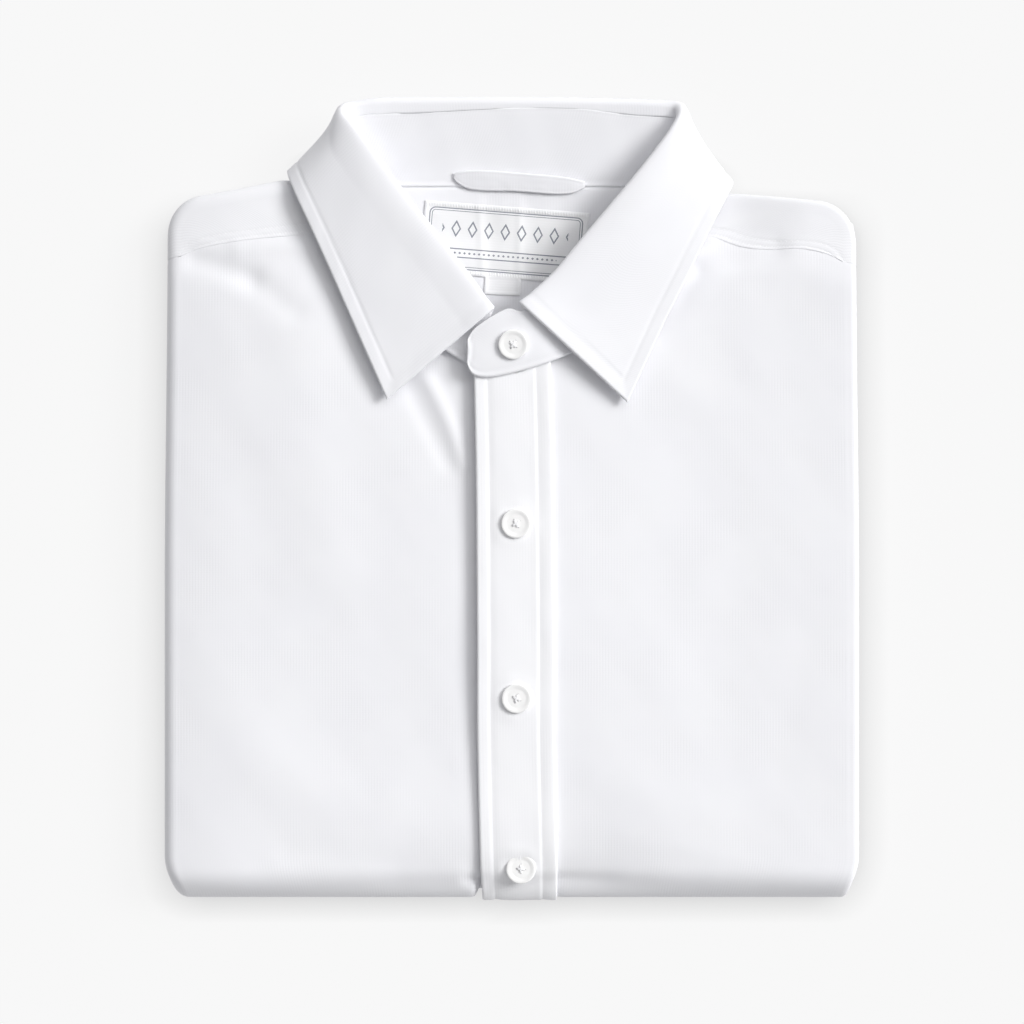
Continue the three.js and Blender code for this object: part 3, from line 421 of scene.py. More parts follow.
def knitted_cotton(name, light, groove, depth):
    """Bleached cotton in a fine rib: matt, with columns of loops, painted shade in the grooves between them,
    and short fuzz.
    """
    m = new_material(name)
    place = add(m, "ShaderNodeUVMap", {"uv_map": "cloth"})
    drift = add(m, "ShaderNodeTexNoise", {"Scale": 60.0, "Detail": 2.0}, {"Vector": place.outputs["UV"]})
    # yarn never runs quite straight, so the columns wander by a fifth of their width
    wander = add(m, "ShaderNodeVectorMath", {"operation": "MULTIPLY_ADD", 1: (0.0003, 0.0003, 0)},
                 {0: drift.outputs["Color"], 2: place.outputs["UV"]})
    apart = add(m, "ShaderNodeSeparateXYZ", {}, {0: wander.outputs[0]})
    phase = add(m, "ShaderNodeMath", {"operation": "MULTIPLY", 1: 2 * math.pi / (WALE * MM)},
                {0: apart.outputs["X"]})
    wales = add(m, "ShaderNodeMath", {"operation": "COSINE"}, {0: phase.outputs[0]})
    rows = add(m, "ShaderNodeMath", {"operation": "MULTIPLY", 1: 2 * math.pi / (COURSE * MM)},
               {0: apart.outputs["Y"]})
    courses = add(m, "ShaderNodeMath", {"operation": "COSINE"}, {0: rows.outputs[0]})
    fuzz = add(m, "ShaderNodeTexNoise", {"Scale": 2600.0, "Detail": 3.0, "Roughness": 0.7},
               {"Vector": place.outputs["UV"]})
    loops = add(m, "ShaderNodeMath", {"operation": "MULTIPLY_ADD", 1: 0.3},
                {0: courses.outputs[0], 2: wales.outputs[0]})
    height = add(m, "ShaderNodeMath", {"operation": "MULTIPLY_ADD", 1: 1.1},
                 {0: fuzz.outputs["Fac"], 2: loops.outputs[0]})
    shade = add(m, "ShaderNodeMapRange", {"From Min": -0.9, "From Max": 0.9}, {"Value": loops.outputs[0]})
    # bleached cloth is a touch warmer and cooler from place to place
    cloud = add(m, "ShaderNodeTexNoise", {"Scale": 26.0, "Detail": 3.0}, {"Vector": place.outputs["UV"]})
    # painted shade: the grooves between the columns take the darker groove colour, and the loops' tops take
    # the light one
    ramp = add(m, "ShaderNodeValToRGB", {}, {"Fac": shade.outputs[0]})
    ramp.color_ramp.elements[0].color = linear(groove)
    ramp.color_ramp.elements[1].color = linear(light)
    ramp.color_ramp.elements[0].position = 0.0
    ramp.color_ramp.elements[1].position = 0.55
    # the columns show only where pressing has left them proud, both in the bump and in the painted groove
    # shade
    proud = add(m, "ShaderNodeTexNoise", {"Scale": 34.0, "Detail": 2.0}, {"Vector": place.outputs["UV"]})
    shown = add(m, "ShaderNodeMapRange", {"From Min": 0.42, "From Max": 0.62, "To Min": 0.15},
                {"Value": proud.outputs["Fac"]})
    rib = add(m, "ShaderNodeMixRGB", {"blend_type": "MIX", "Color1": linear(light)},
              {"Fac": shown.outputs[0], "Color2": ramp.outputs[0]})
    strength = add(m, "ShaderNodeMath", {"operation": "MULTIPLY", 1: depth}, {0: shown.outputs[0]})
    lift = add(m, "ShaderNodeBump", {"Distance": 0.00012},
               {"Height": height.outputs[0], "Strength": strength.outputs[0]})
    clouds = add(m, "ShaderNodeValToRGB", {}, {"Fac": cloud.outputs["Fac"]})
    clouds.color_ramp.elements[0].color = linear("#FAFAFC")
    clouds.color_ramp.elements[1].color = linear("#FFFFFF")
    colour = add(m, "ShaderNodeMixRGB", {"blend_type": "MULTIPLY", "Fac": 1.0},
                 {"Color1": rib.outputs[0], "Color2": clouds.outputs[0]})
    shader = add(m, "ShaderNodeBsdfPrincipled",
                 {"Roughness": 0.92, "IOR": 1.45, "Specular IOR Level": 0.18, "Sheen Weight": 0.12,
                  "Sheen Roughness": 0.6},
                 {"Base Color": colour.outputs[0], "Normal": lift.outputs[0]})
    return finish_with(m, shader)


def woven_satin(name, code, ink=None):
    """Polyester satin of a woven label: close fine threads that catch a soft light."""
    m = new_material(name)
    place = add(m, "ShaderNodeUVMap", {"uv_map": "cloth"})
    threads = add(m, "ShaderNodeTexWave",
                  {"Scale": 260.0, "Distortion": 1.2, "Detail": 1.0, "bands_direction": "Y"},
                  {"Vector": place.outputs["UV"]})
    lift = add(m, "ShaderNodeBump", {"Strength": 0.12, "Distance": 0.0001},
               {"Height": threads.outputs["Fac"]})
    shader = add(m, "ShaderNodeBsdfPrincipled",
                 {"Base Color": linear(code), "Roughness": 0.5, "IOR": 1.5, "Specular IOR Level": 0.4,
                  "Sheen Weight": 0.2},
                 {"Normal": lift.outputs[0]})
    if ink:
        colour = add(m, "ShaderNodeMixRGB", {"Color1": linear(code), "Color2": linear(ink)},
                     {"Fac": woven_pattern(m, place)})
        m.node_tree.links.new(colour.outputs[0], shader.inputs["Base Color"])
    return finish_with(m, shader)


def woven_pattern(m, place):
    """A plain double frame, rules and rows of lozenges, woven in place of words."""
    # distance from a rectangle with round corners, 69.4 by 27.4 mm
    size = add(m, "ShaderNodeVectorMath", {"operation": "ABSOLUTE"}, {0: place.outputs["UV"]})
    past = add(m, "ShaderNodeVectorMath", {"operation": "SUBTRACT", 1: (0.0319, 0.0109, 0)},
               {0: size.outputs[0]})
    corner = add(m, "ShaderNodeVectorMath", {"operation": "MAXIMUM", 1: (0, 0, 0)}, {0: past.outputs[0]})
    reach = add(m, "ShaderNodeVectorMath", {"operation": "LENGTH"}, {0: corner.outputs[0]})
    frame_line = add(m, "ShaderNodeMapRange", {"From Max": 0.004}, {"Value": reach.outputs["Value"]})
    frame_ink = add(m, "ShaderNodeValToRGB", {}, {"Fac": frame_line.outputs[0]})
    stripes(frame_ink, [(0.36, 0.44), (0.60, 0.72)])
    # two thin rules, one below the lozenges and one above the lower frame line, within the frame
    apart = add(m, "ShaderNodeSeparateXYZ", {}, {0: place.outputs["UV"]})
    level = add(m, "ShaderNodeMapRange", {"From Min": -0.0162, "From Max": 0.0162},
                {"Value": apart.outputs["Y"]})
    rules = add(m, "ShaderNodeValToRGB", {}, {"Fac": level.outputs[0]})
    stripes(rules, [(0.235, 0.252), (0.352, 0.369)])
    wide = add(m, "ShaderNodeSeparateXYZ", {}, {0: size.outputs[0]})
    inside = add(m, "ShaderNodeMath", {"operation": "LESS_THAN", 1: 0.0315}, {0: wide.outputs["X"]})
    rules_ink = add(m, "ShaderNodeMath", {"operation": "MULTIPLY"},
                    {0: rules.outputs["Color"], 1: inside.outputs[0]})
    ink_parts = [frame_ink.outputs["Color"], rules_ink.outputs[0]]
    for middle, pitch, across, tall, reach_x, bands in LABEL_LOZENGES:
        swing = add(m, "ShaderNodeMath", {"operation": "PINGPONG", 1: pitch / 2}, {0: apart.outputs["X"]})
        step = add(m, "ShaderNodeMath", {"operation": "DIVIDE", 1: across}, {0: swing.outputs[0]})
        high = add(m, "ShaderNodeMath", {"operation": "SUBTRACT", 1: middle}, {0: apart.outputs["Y"]})
        high = add(m, "ShaderNodeMath", {"operation": "ABSOLUTE"}, {0: high.outputs[0]})
        high = add(m, "ShaderNodeMath", {"operation": "DIVIDE", 1: tall}, {0: high.outputs[0]})
        far = add(m, "ShaderNodeMath", {"operation": "ADD"}, {0: step.outputs[0], 1: high.outputs[0]})
        line = add(m, "ShaderNodeValToRGB", {}, {"Fac": far.outputs[0]})
        stripes(line, bands)
        near = add(m, "ShaderNodeMath", {"operation": "LESS_THAN", 1: reach_x}, {0: wide.outputs["X"]})
        lozenge = add(m, "ShaderNodeMath", {"operation": "MULTIPLY"},
                      {0: line.outputs["Color"], 1: near.outputs[0]})
        ink_parts.append(lozenge.outputs[0])
    total = ink_parts[0]
    for part in ink_parts[1:]:
        total = add(m, "ShaderNodeMath", {"operation": "MAXIMUM"}, {0: total, 1: part}).outputs[0]
    return total


def stripes(ramp, bands):
    """Makes a colour ramp black, with a white stripe from start to end of each band."""
    steps = ramp.color_ramp
    steps.interpolation = "CONSTANT"
    steps.elements[0].color, steps.elements[1].color = (0, 0, 0, 1), (0, 0, 0, 1)
    for start, end in bands:
        steps.elements.new(start).color = (1, 1, 1, 1)
        steps.elements.new(end).color = (0, 0, 0, 1)


def twisted_thread(name, code):
    """Spun polyester sewing thread: matt, with a fine uneven bump over its surface."""
    m = new_material(name)
    place = add(m, "ShaderNodeTexCoord")
    ply = add(m, "ShaderNodeTexNoise", {"Scale": 2400.0, "Detail": 1.0}, {"Vector": place.outputs["Object"]})
    lift = add(m, "ShaderNodeBump", {"Strength": 0.3, "Distance": 0.0001}, {"Height": ply.outputs["Fac"]})
    shader = add(m, "ShaderNodeBsdfPrincipled",
                 {"Base Color": linear(code), "Roughness": 0.7, "IOR": 1.5, "Sheen Weight": 0.15},
                 {"Normal": lift.outputs[0]})
    return finish_with(m, shader)


def polyester_button(name, code, vein):
    """Cast polyester that imitates shell: polished, with pale clouds under the surface."""
    m = new_material(name)
    place = add(m, "ShaderNodeTexCoord")
    cloud = add(m, "ShaderNodeTexNoise", {"Scale": 180.0, "Detail": 3.0, "Distortion": 1.5},
                {"Vector": place.outputs["Object"]})
    ramp = add(m, "ShaderNodeValToRGB", {}, {"Fac": cloud.outputs["Fac"]})
    ramp.color_ramp.elements[0].color = linear(vein)
    ramp.color_ramp.elements[1].color = linear(code)
    shader = add(m, "ShaderNodeBsdfPrincipled",
                 {"Roughness": 0.22, "IOR": 1.54, "Coat Weight": 0.4, "Coat Roughness": 0.1},
                 {"Base Color": ramp.outputs[0]})
    return finish_with(m, shader)


def glowing_board_with_painted_shadow(name, code):
    """Matt board under the shirt: a dark base that glows evenly white, with a painted contact shadow where
    something stands close over it.
    """
    m = new_material(name)
    place = add(m, "ShaderNodeTexCoord")
    grain = add(m, "ShaderNodeTexNoise", {"Scale": 500.0, "Detail": 2.0}, {"Vector": place.outputs["Object"]})
    lift = add(m, "ShaderNodeBump", {"Strength": 0.02, "Distance": 0.0002}, {"Height": grain.outputs["Fac"]})
    # the board glows evenly, and less so where something stands close over it: a painted contact shadow
    contact_shadow_mask = add(m, "ShaderNodeAmbientOcclusion", {"Distance": 0.016, "samples": 16})
    glow_with_painted_shadow = add(m, "ShaderNodeMapRange", {"From Min": 0.4, "To Min": 0.62, "To Max": 0.87},
               {"Value": contact_shadow_mask.outputs["AO"]})
    shader = add(m, "ShaderNodeBsdfPrincipled",
                 {"Base Color": linear(code), "Roughness": 1.0, "Specular IOR Level": 0.0,
                  "Emission Color": (1, 1, 1, 1)},
                 {"Emission Strength": glow_with_painted_shadow.outputs[0], "Normal": lift.outputs[0]})
    return finish_with(m, shader)


KNIT = knitted_cotton("bleached_cotton_knit", "#F5F5F7", "#F2F2F4", depth=0.1)
# painted light: the placket's and the collar's knit are lighter copies of the same cotton, standing in for
# the brighter light that their faces catch
KNIT_DOUBLED_PAINTED_LIGHTER = knitted_cotton("bleached_cotton_knit_doubled_painted_lighter", "#FCFCFD", "#FAFAFB", depth=0.08)
KNIT_COLLAR_PAINTED_LIGHTER = knitted_cotton("bleached_cotton_knit_collar_painted_lighter", "#F7F7F9", "#F4F4F6", depth=0.08)
SATIN = woven_satin("polyester_satin_woven", "#F6F6F7")
LABEL_SATIN = woven_satin("polyester_satin_woven_frame", "#F6F6F7", "#8B8E98")
THREAD = twisted_thread("spun_polyester_thread_white", "#FBFBFC")
SHELL = polyester_button("cast_polyester_shell_white", "#FFFFFE", "#F8F7F6")
BOARD = glowing_board_with_painted_shadow("matt_glowing_board_with_painted_shadow", "#4A4A4A")


# ---------------------------------------------------------------- meshes from grids
def make_mesh(name, points, faces, material, uv=None):
    """One object of the material from points in millimetres, with the cloth's own places as its UV map."""
    mesh = bpy.data.meshes.new(name)
    mesh.from_pydata((np.asarray(points) * MM).tolist(), [], faces)
    if uv is not None:
        layer = mesh.uv_layers.new(name="cloth")
        corners = np.zeros(len(mesh.loops), np.int32)
        mesh.loops.foreach_get("vertex_index", corners)
        layer.data.foreach_set("uv", (np.asarray(uv)[corners] * MM).astype(np.float32).ravel())
    mesh.polygons.foreach_set("use_smooth", [True] * len(mesh.polygons))
    mesh.validate()
    mesh.update()
    obj = bpy.data.objects.new(name, mesh)
    bpy.context.scene.collection.objects.link(obj)
    mesh.materials.append(material)
    return obj


def shell(name, outer, inner, uv, material, keep=None):
    """A closed wall of cloth between two grids of points. keep marks the cells that are cloth."""
    rows, columns = outer.shape[:2]
    number = np.arange(rows * columns).reshape(rows, columns)
    a, b, c, d = (q.ravel() for q in (number[:-1, :-1], number[1:, :-1], number[1:, 1:], number[:-1, 1:]))
    if keep is not None:
        a, b, c, d = (q[keep.ravel()] for q in (a, b, c, d))
    cells = np.stack([a, b, c, d], 1)
    shift = rows * columns
    edges = np.concatenate([cells[:, [k, (k + 1) % 4]] for k in range(4)])
    forward = set(map(tuple, edges.tolist()))
    rim = [(p, q) for p, q in forward if (q, p) not in forward]
    points = np.concatenate([outer.reshape(-1, 3), inner.reshape(-1, 3)])
    faces = np.concatenate([cells, cells[:, ::-1] + shift])
    walls = np.array([[q, p, p + shift, q + shift] for p, q in rim])
    faces = np.concatenate([faces, walls])
    a, b, c, d = (points[faces[:, k]] for k in range(4))
    volume = np.einsum("ij,ij->i", a, np.cross(b, c) + np.cross(c, d)).sum()
    if volume < 0:
        faces = faces[:, ::-1]
    used = np.unique(faces)
    renumber = np.zeros(len(points), np.int64)
    renumber[used] = np.arange(len(used))
    both = np.concatenate([uv.reshape(-1, 2), uv.reshape(-1, 2)])
    return make_mesh(name, points[used], renumber[faces].tolist(), material, both[used])


def normals_of(grid):
    """Unit normals of a grid of points."""
    normal = np.cross(np.gradient(grid, axis=0), np.gradient(grid, axis=1))
    return normal / np.maximum(np.linalg.norm(normal, axis=-1, keepdims=True), 1e-9)


def upward(normal):
    """The same normals, turned over if those near the grid's first corner point down."""
    return -normal if normal[10, 10, 2] < 0 else normal


def lengths(grid, axis):
    """Length of cloth from a grid's first row or column."""
    steps = np.linalg.norm(np.diff(grid, axis=axis), axis=-1)
    pad = [(0, 0), (0, 0)]
    pad[axis] = (1, 0)
    return np.cumsum(np.pad(steps, pad), axis=axis)


def line_at(grid, normal, measure, value, axis):
    """Points and normals where a measure that grows along an axis reaches a value, one a line."""
    if axis == 0:
        grid, normal, measure = grid.swapaxes(0, 1), normal.swapaxes(0, 1), measure.T
    points, ups = [], []
    for line, up, at in zip(grid, normal, measure):
        if at[-1] < value or at[0] > value:
            continue
        k = max(int(np.searchsorted(at, value)), 1)
        t = (value - at[k - 1]) / max(at[k] - at[k - 1], 1e-9)
        points.append(mix(line[k - 1], line[k], t))
        ups.append(mix(up[k - 1], up[k], t))
    return np.array(points), np.array(ups)


# ---------------------------------------------------------------- stitches
def stitch_form():
    """One lock stitch, 2.5 mm long, lying along X with its ends dipping into the cloth."""
    bpy.ops.object.select_all(action="DESELECT")
    bpy.ops.mesh.primitive_cylinder_add(vertices=6, radius=0.27, depth=2.5, rotation=(0, math.pi / 2, 0))
    obj = bpy.context.object
    bpy.ops.object.transform_apply(location=False, rotation=True, scale=False)
    bpy.ops.object.mode_set(mode="EDIT")
    bpy.ops.mesh.select_all(action="SELECT")
    bpy.ops.mesh.bisect(plane_co=(-0.7, 0, 0), plane_no=(1, 0, 0))
    bpy.ops.mesh.select_all(action="SELECT")
    bpy.ops.mesh.bisect(plane_co=(0.7, 0, 0), plane_no=(1, 0, 0))
    bpy.ops.object.mode_set(mode="OBJECT")
    points = np.array([v.co[:] for v in obj.data.vertices])
    end = np.abs(points[:, 0]) > 1
    points[end, 1:] *= 0.6
    points[:, 2] -= 0.34 * (np.abs(points[:, 0]) / 1.25) ** 2
    faces = [list(p.vertices) for p in obj.data.polygons]
    bpy.data.objects.remove(obj, do_unlink=True)
    return points, faces


STITCH_POINTS, STITCH_FACES = stitch_form()


def stitches(name, lines, pitch=STITCH_PITCH, size=0.7, sink=0.1):
    """Lock stitches along lines of points with their normals, each stitch its own small form."""
    points, faces = [], []
    for path, up in lines:
        at = np.concatenate([[0], np.cumsum(np.linalg.norm(np.diff(path, axis=0), axis=1))])
        for place in np.arange(pitch * 0.5, at[-1] - pitch * 0.3, pitch):
            # the stitch points from a little behind its place to a little ahead of it
            here, ahead, back = (np.array([np.interp(place + step, at, path[:, k]) for k in range(3)])
                                 for step in (0, 0.8, -0.8))
            along = ahead - back
            if np.linalg.norm(along) < 1e-6:
                continue
            along /= np.linalg.norm(along)
            out = np.array([np.interp(place, at, up[:, k]) for k in range(3)])
            out -= along * out.dot(along)
            out /= np.linalg.norm(out)
            side = np.cross(out, along)
            start = len(points) * len(STITCH_POINTS)
            points.append(STITCH_POINTS * size @ np.array([along, side, out]) + here + out * (0.1 - sink))
            faces.extend([[i + start for i in face] for face in STITCH_FACES])
    obj = make_mesh(name, np.concatenate(points), faces, THREAD)
    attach(obj, "root")


def dress(obj, *nodes, slot="knit"):
    """Rides the one body and takes the place of the plain solids that it dresses. slot is not used."""
    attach(obj, "root")
    if nodes:
        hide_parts(*nodes)
    return obj


# ---------------------------------------------------------------- fronts
def front_top(x):
    """The upper edge of the fronts in plan: seam, neckline, seam."""
    left, right = curve_at(LEFT_SEAM, x) + SEAM_GAP, curve_at(RIGHT_SEAM, x) + SEAM_GAP
    return np.where(x < -NECK_HALF, left, np.where(x > NECK_HALF, right, curve_at(NECKLINE, x)))


def front_panel(name, columns, raised, top_of, seed):
    """One front from its upper edge round the large fold and along the underside to the turned-up tail."""
    x = np.clip(columns, -HALF_WIDTH, HALF_WIDTH)
    share = np.concatenate([[0, 0.0004, 0.0012, 0.0026, 0.0045], np.linspace(0.0075, 1, 150)])
    upper = top_of(x)[None, :] + (BEND_Y - top_of(x))[None, :] * share[:, None]
    bend = BEND_Y - np.linspace(0, math.pi, 25)[1:] * BEND_RADIUS
    under = run_of_underside(np.linspace(BEND_Y, TAIL_START, 46)[1:])
    tail = run_of_underside(TAIL_START) - np.radians([20, 40, 60, 80, 100, 120, 140, 160]) * FOLD_RADIUS
    lower = np.concatenate([bend, under, tail])[:, None] + 0 * x[None, :]
    run = np.concatenate([upper, lower])
    across = columns[None, :] + 0 * run
    x = np.clip(across, -HALF_WIDTH, HALF_WIDTH)
    from_top = top_of(x) - run
    ends = np.minimum(np.abs(across - columns[0]), np.abs(across - columns[-1]))
    thick = np.minimum(rounded(from_top, 0.7, 0.8), rounded(ends))
    # the seam with the yoke is pulled in, and the cloth below it lies in small puckers
    gathered = 0.12 * uneven(x, from_top * 0.4, 17.0, seed) * np.exp(-np.maximum(from_top, 0) / 16)
    hidden = smooth(BEND_Y - 14, BEND_Y - 40, run)
    pressed = -0.35 * (0.5 + 0.5 * uneven(across, run, 70.0, seed + 3)) * hidden
    wrinkled = gathered * (1 - hidden) - 0.1 * bump(from_top, 0.6, 1.0) + pressed
    middle = raised(x) - CLOTH / 2 + wrinkled
    outer = body_point(across, run, middle + CLOTH / 2 * thick)
    inner = body_point(across, run, np.minimum(middle, raised(x) - CLOTH / 2) - CLOTH / 2 * thick)
    rows = len(run) - 1
    # the turned-up tail ends before the side folds and leaves the closure free
    quarter = FLAT_HALF + FOLD_RADIUS * math.pi / 2
    low, high = np.minimum(columns[:-1], columns[1:]), np.maximum(columns[:-1], columns[1:])
    turned_up = (np.maximum(np.abs(low), np.abs(high)) < quarter + 0.05) & ((high < -15) | (low > 18))
    plain = np.arange(rows) < rows - len(tail)
    keep = plain[:, None] | turned_up[None, :]
    return shell(name, outer, inner, np.stack([across, run], -1), KNIT, keep)


def wrap_columns():
    """Places across the cloth round a long side's fold."""
    return FLAT_HALF + np.radians(np.arange(10, 161, 10)) * FOLD_RADIUS


right_columns = np.concatenate([stops(17, -FLAT_HALF, 1.9, True, False), -wrap_columns()])
left_columns = np.concatenate([stops(-12, FLAT_HALF, 1.9, True, False), wrap_columns()])
front_right = front_panel("front_right_cloth", right_columns, lambda x: 0 * x, front_top, 0.7)
front_left = front_panel("front_left_cloth", left_columns, left_front_raise,
                         lambda x: mix(PLACKET_TOP_Y, front_top(x), smooth(13, 20, x)), 2.9)
dress(front_right, "front_right")
dress(front_left, "front_left")


# ---------------------------------------------------------------- closure
BUTTON_RUNS = {"button_upper": -11.0, "button_middle": -89.6, "button_lower": -165.4,
               "button_beneath_1": run_of_underside(-124), "button_beneath_2": run_of_underside(-45),
               "button_beneath_3": run_of_underside(34)}


def closure_strip(name, width, top, thickness, top_y, stitched):
    """One strip of the closure, from the collar round the large fold and along the underside."""
    half = width / 2
    columns = stops(-half, half, 0.6)
    # the closure's upper end follows the foot of the stand, that climbs to the right
    climb = (5.5 * smooth(1, 15, columns) if stitched else 0 * columns)[None, :]
    upper = stops(top_y, BEND_Y, 1.1, True, False)
    bend = BEND_Y - np.linspace(0, math.pi, 34)[1:] * BEND_RADIUS
    under = run_of_underside(np.linspace(BEND_Y, TAIL_START - 3, 110)[1:])
    end = run_of_underside(TAIL_START - 1 - np.array([1.1, 0.65, 0.3, 0.1, 0.0]))
    straight = np.concatenate([upper, bend, under, end])[:, None]
    run = straight + climb * np.clip((straight - 20) / (top_y - 20), 0, 1)
    u = columns[None, :] + 0 * run
    from_side = half - np.abs(u)
    from_ends = np.minimum(run[:1] - run, run - run[-1, 0])
    thick = np.minimum(rounded(from_side, 0.9), rounded(from_ends, 1.0))
    shape = np.zeros_like(run)
    if stitched:
        pucker = 0.5 * uneven(run + 40 * (u > 0), u * 0.5, 10.0, 1.0) + 0.5 * uneven(run, u * 0.4, 24.0, 3.0)
        shape += curve_at(PLACKET_FACE, u + half) * (1 + 0.25 * pucker)
        # the cloth draws in under each button and swells round it
        for place in BUTTON_RUNS.values():
            away = np.hypot(u, run - place)
            ring = np.arctan2(run - place, u)
            swell = 0.25 * bump(away, 8.4, 3.0) * (1 + 0.25 * np.sin(5 * ring + place))
            shape += swell - 0.1 * bump(away, 0, 5.0)
        shape += 0.14 * uneven(u * 1.4, run, 40.0, 0.4) * smooth(0, 6, from_side)
    across = placket_middle(run) + u
    level = top - thickness / 2 - closure_droop(run) * (1 - beneath_closure(across))
    outer = body_point(across, run, level + (thickness / 2 + shape) * thick)
    inner = body_point(across, run, level - thickness / 2 * thick)
    obj = shell(name, outer, inner, np.stack([u, run], -1), KNIT_DOUBLED_PAINTED_LIGHTER)
    normal = upward(normals_of(outer))
    lines = [line_at(outer, normal, u + half, place, 1) for place in stitched]
    return obj, [(points[3:-3], ups[3:-3]) for points, ups in lines]


placket, placket_lines = closure_strip("placket_cloth", PLACKET_WIDTH, PLACKET_TOP, PLACKET_CLOTH,
                                       PLACKET_TOP_Y, PLACKET_STITCHES)
under_placket, _ = closure_strip("placket_under_cloth", UNDER_PLACKET_WIDTH, UNDER_PLACKET_TOP,
                                 UNDER_PLACKET_CLOTH, PLACKET_TOP_Y - 1, ())
dress(placket, "placket", slot="knit_doubled")
dress(under_placket, "placket_under", slot="knit_doubled")
stitches("placket_topstitch", placket_lines, size=0.55, sink=0.2)


# ---------------------------------------------------------------- yoke
def shoulder_yoke(name, seam_table, shoulder, corner_radius, side):
    """The yoke over one shoulder, from the front's seam round the fold at the side and the shoulder."""
    edge_x = side * HALF_WIDTH
    side_y = curve_at(seam_table, edge_x)
    corner_x = side * (HALF_WIDTH - corner_radius)
    corner_y = curve_at(shoulder, shoulder[0][0]) - corner_radius
    corner = [(corner_x + side * corner_radius * math.cos(t), corner_y + corner_radius * math.sin(t))
              for t in np.radians([0, 15, 30, 45, 60, 75, 90])]
    outline = [(edge_x, side_y), (edge_x, mix(side_y, corner_y, 0.6)), *corner, *shoulder[1:]]
    outline = np.array(outline, float)
    knots = np.concatenate([[0], np.cumsum(np.hypot(*np.diff(outline, axis=0).T))])
    along = stops(0, knots[-1], 1.6)
    edge = np.stack([np.interp(along, knots, outline[:, k]) for k in (0, 1)], -1)
    for _ in range(2):
        edge[1:-1] = (edge[:-2] + 2 * edge[1:-1] + edge[2:]) / 4
    tangent = np.gradient(edge, axis=0)
    inward = np.stack([tangent[:, 1], -tangent[:, 0]], -1)
    inward = -side * inward / np.linalg.norm(inward, axis=1, keepdims=True)
    share = (along / along[-1]) ** 1.15

    def seam_y(x):
        return curve_at(seam_table, np.clip(x, -HALF_WIDTH, HALF_WIDTH)) - 0.1

    start = mix(side * (FLAT_HALF - 5), side * NECK_HALF, share)
    start = np.stack([start, seam_y(start)], -1)
    rim = edge + inward * FOLD_RADIUS
    first = np.exp(-along / 0.8)[:, None]
    rim[:, 1:] = mix(rim[:, 1:], seam_y(rim[:, :1]), first)
    flat = np.concatenate([[0, 0.006, 0.018, 0.036, 0.06], np.linspace(0.09, 1, 26)])
    turns = np.radians(np.linspace(0, 180, 15))[1:]
    count = len(flat) + len(turns) + 1

    def grid(level):
        points = np.zeros((len(along), count, 3))
        at = start[:, None] + (rim - start)[:, None] * flat[None, :, None]
        at[..., 1] = mix(at[..., 1], seam_y(at[..., 0]), first)
        top = relief(at[..., 0], at[..., 1]) + STACK
        points[:, :len(flat)] = np.concatenate([at, (top + level[:, :len(flat)])[..., None]], -1)
        rim_top = STACK + relief(rim[:, 0], rim[:, 1])
        bottom = STACK - BUNDLE
        for k, turn in enumerate(turns):
            lift = level[:, len(flat) + k]
            sine, cosine = edge_turn(turn, side)
            out = -(FOLD_RADIUS + lift) * sine
            place = rim + inward * out[:, None]
            place[:, 1] = mix(place[:, 1], seam_y(place[:, 0]), first[:, 0])
            z = (rim_top + bottom) / 2 + ((rim_top - bottom) / 2 + lift) * cosine
            points[:, len(flat) + k] = np.column_stack([place, z])
        behind = rim + inward * 8
        behind[:, 1] = mix(behind[:, 1], seam_y(np.full(len(rim), edge_x)), first[:, 0])
        points[:, -1] = np.column_stack([behind, bottom - level[:, -1]])
        return settled(points)

    base = grid(np.zeros((len(along), count)))
    from_seam = lengths(base, 1)
    across = lengths(base, 0)
    from_sides = np.minimum(across, across[-1:] - across)
    thick = np.minimum(rounded(from_seam, 0.7, 0.8), rounded(from_sides, 0.7, 0.55))
    near, far = YOKE_STITCHES
    shape = seam(from_seam, near, across, 0.12, 0.3, 0.16) + seam(from_seam, far, across, 0.1, 1.9, 0.16)
    shape = shape + 0.08 * uneven(across, from_seam * 1.6, 8.0, side) * bump(from_seam, 4.4, 4)
    shape = shape * (np.arange(count) < len(flat))
    outer = grid(-CLOTH / 2 + (CLOTH / 2 + shape) * thick)
    inner = grid(-CLOTH / 2 - CLOTH / 2 * thick)
    obj = shell(name, outer, inner, np.stack([across, -from_seam], -1), KNIT)
    normal = upward(normals_of(outer))
    lines = [line_at(outer, normal, from_seam, inset, 1) for inset in YOKE_STITCHES]
    return obj, [(points[4:-2], ups[4:-2]) for points, ups in lines]


yoke_left, left_lines = shoulder_yoke("yoke_left_side_cloth", LEFT_SEAM, LEFT_SHOULDER, 18, -1)
yoke_right, right_lines = shoulder_yoke("yoke_right_side_cloth", RIGHT_SEAM, RIGHT_SHOULDER, 19, 1)
dress(yoke_left, "yoke_left_side")
dress(yoke_right, "yoke_right_side")
stitches("yoke_topstitch", left_lines + right_lines, size=0.6, sink=0.14)


def back_relief(x, y):
    """The back yoke lies loosely in the neck, in a few shallow ripples under the label."""
    ripples = 0.3 * uneven(x, y, 46.0, 0.8) + 0.3 * bump(x + 13.6 + 0.05 * (y - 115), 0, 1.6)
    ripples = ripples - 0.35 * bump(x, -9, 4.0) + 0.28 * bump(x, 3.6, 1.5) - 0.3 * bump(x, 9, 4.5)
    # at the back it climbs to the foot of the stand
    climb = 2.1 * smooth(116, 139, y) * smooth(141.6, 140.4, y)
    return ripples * smooth(88, 100, y) * smooth(140, 132, y) + climb


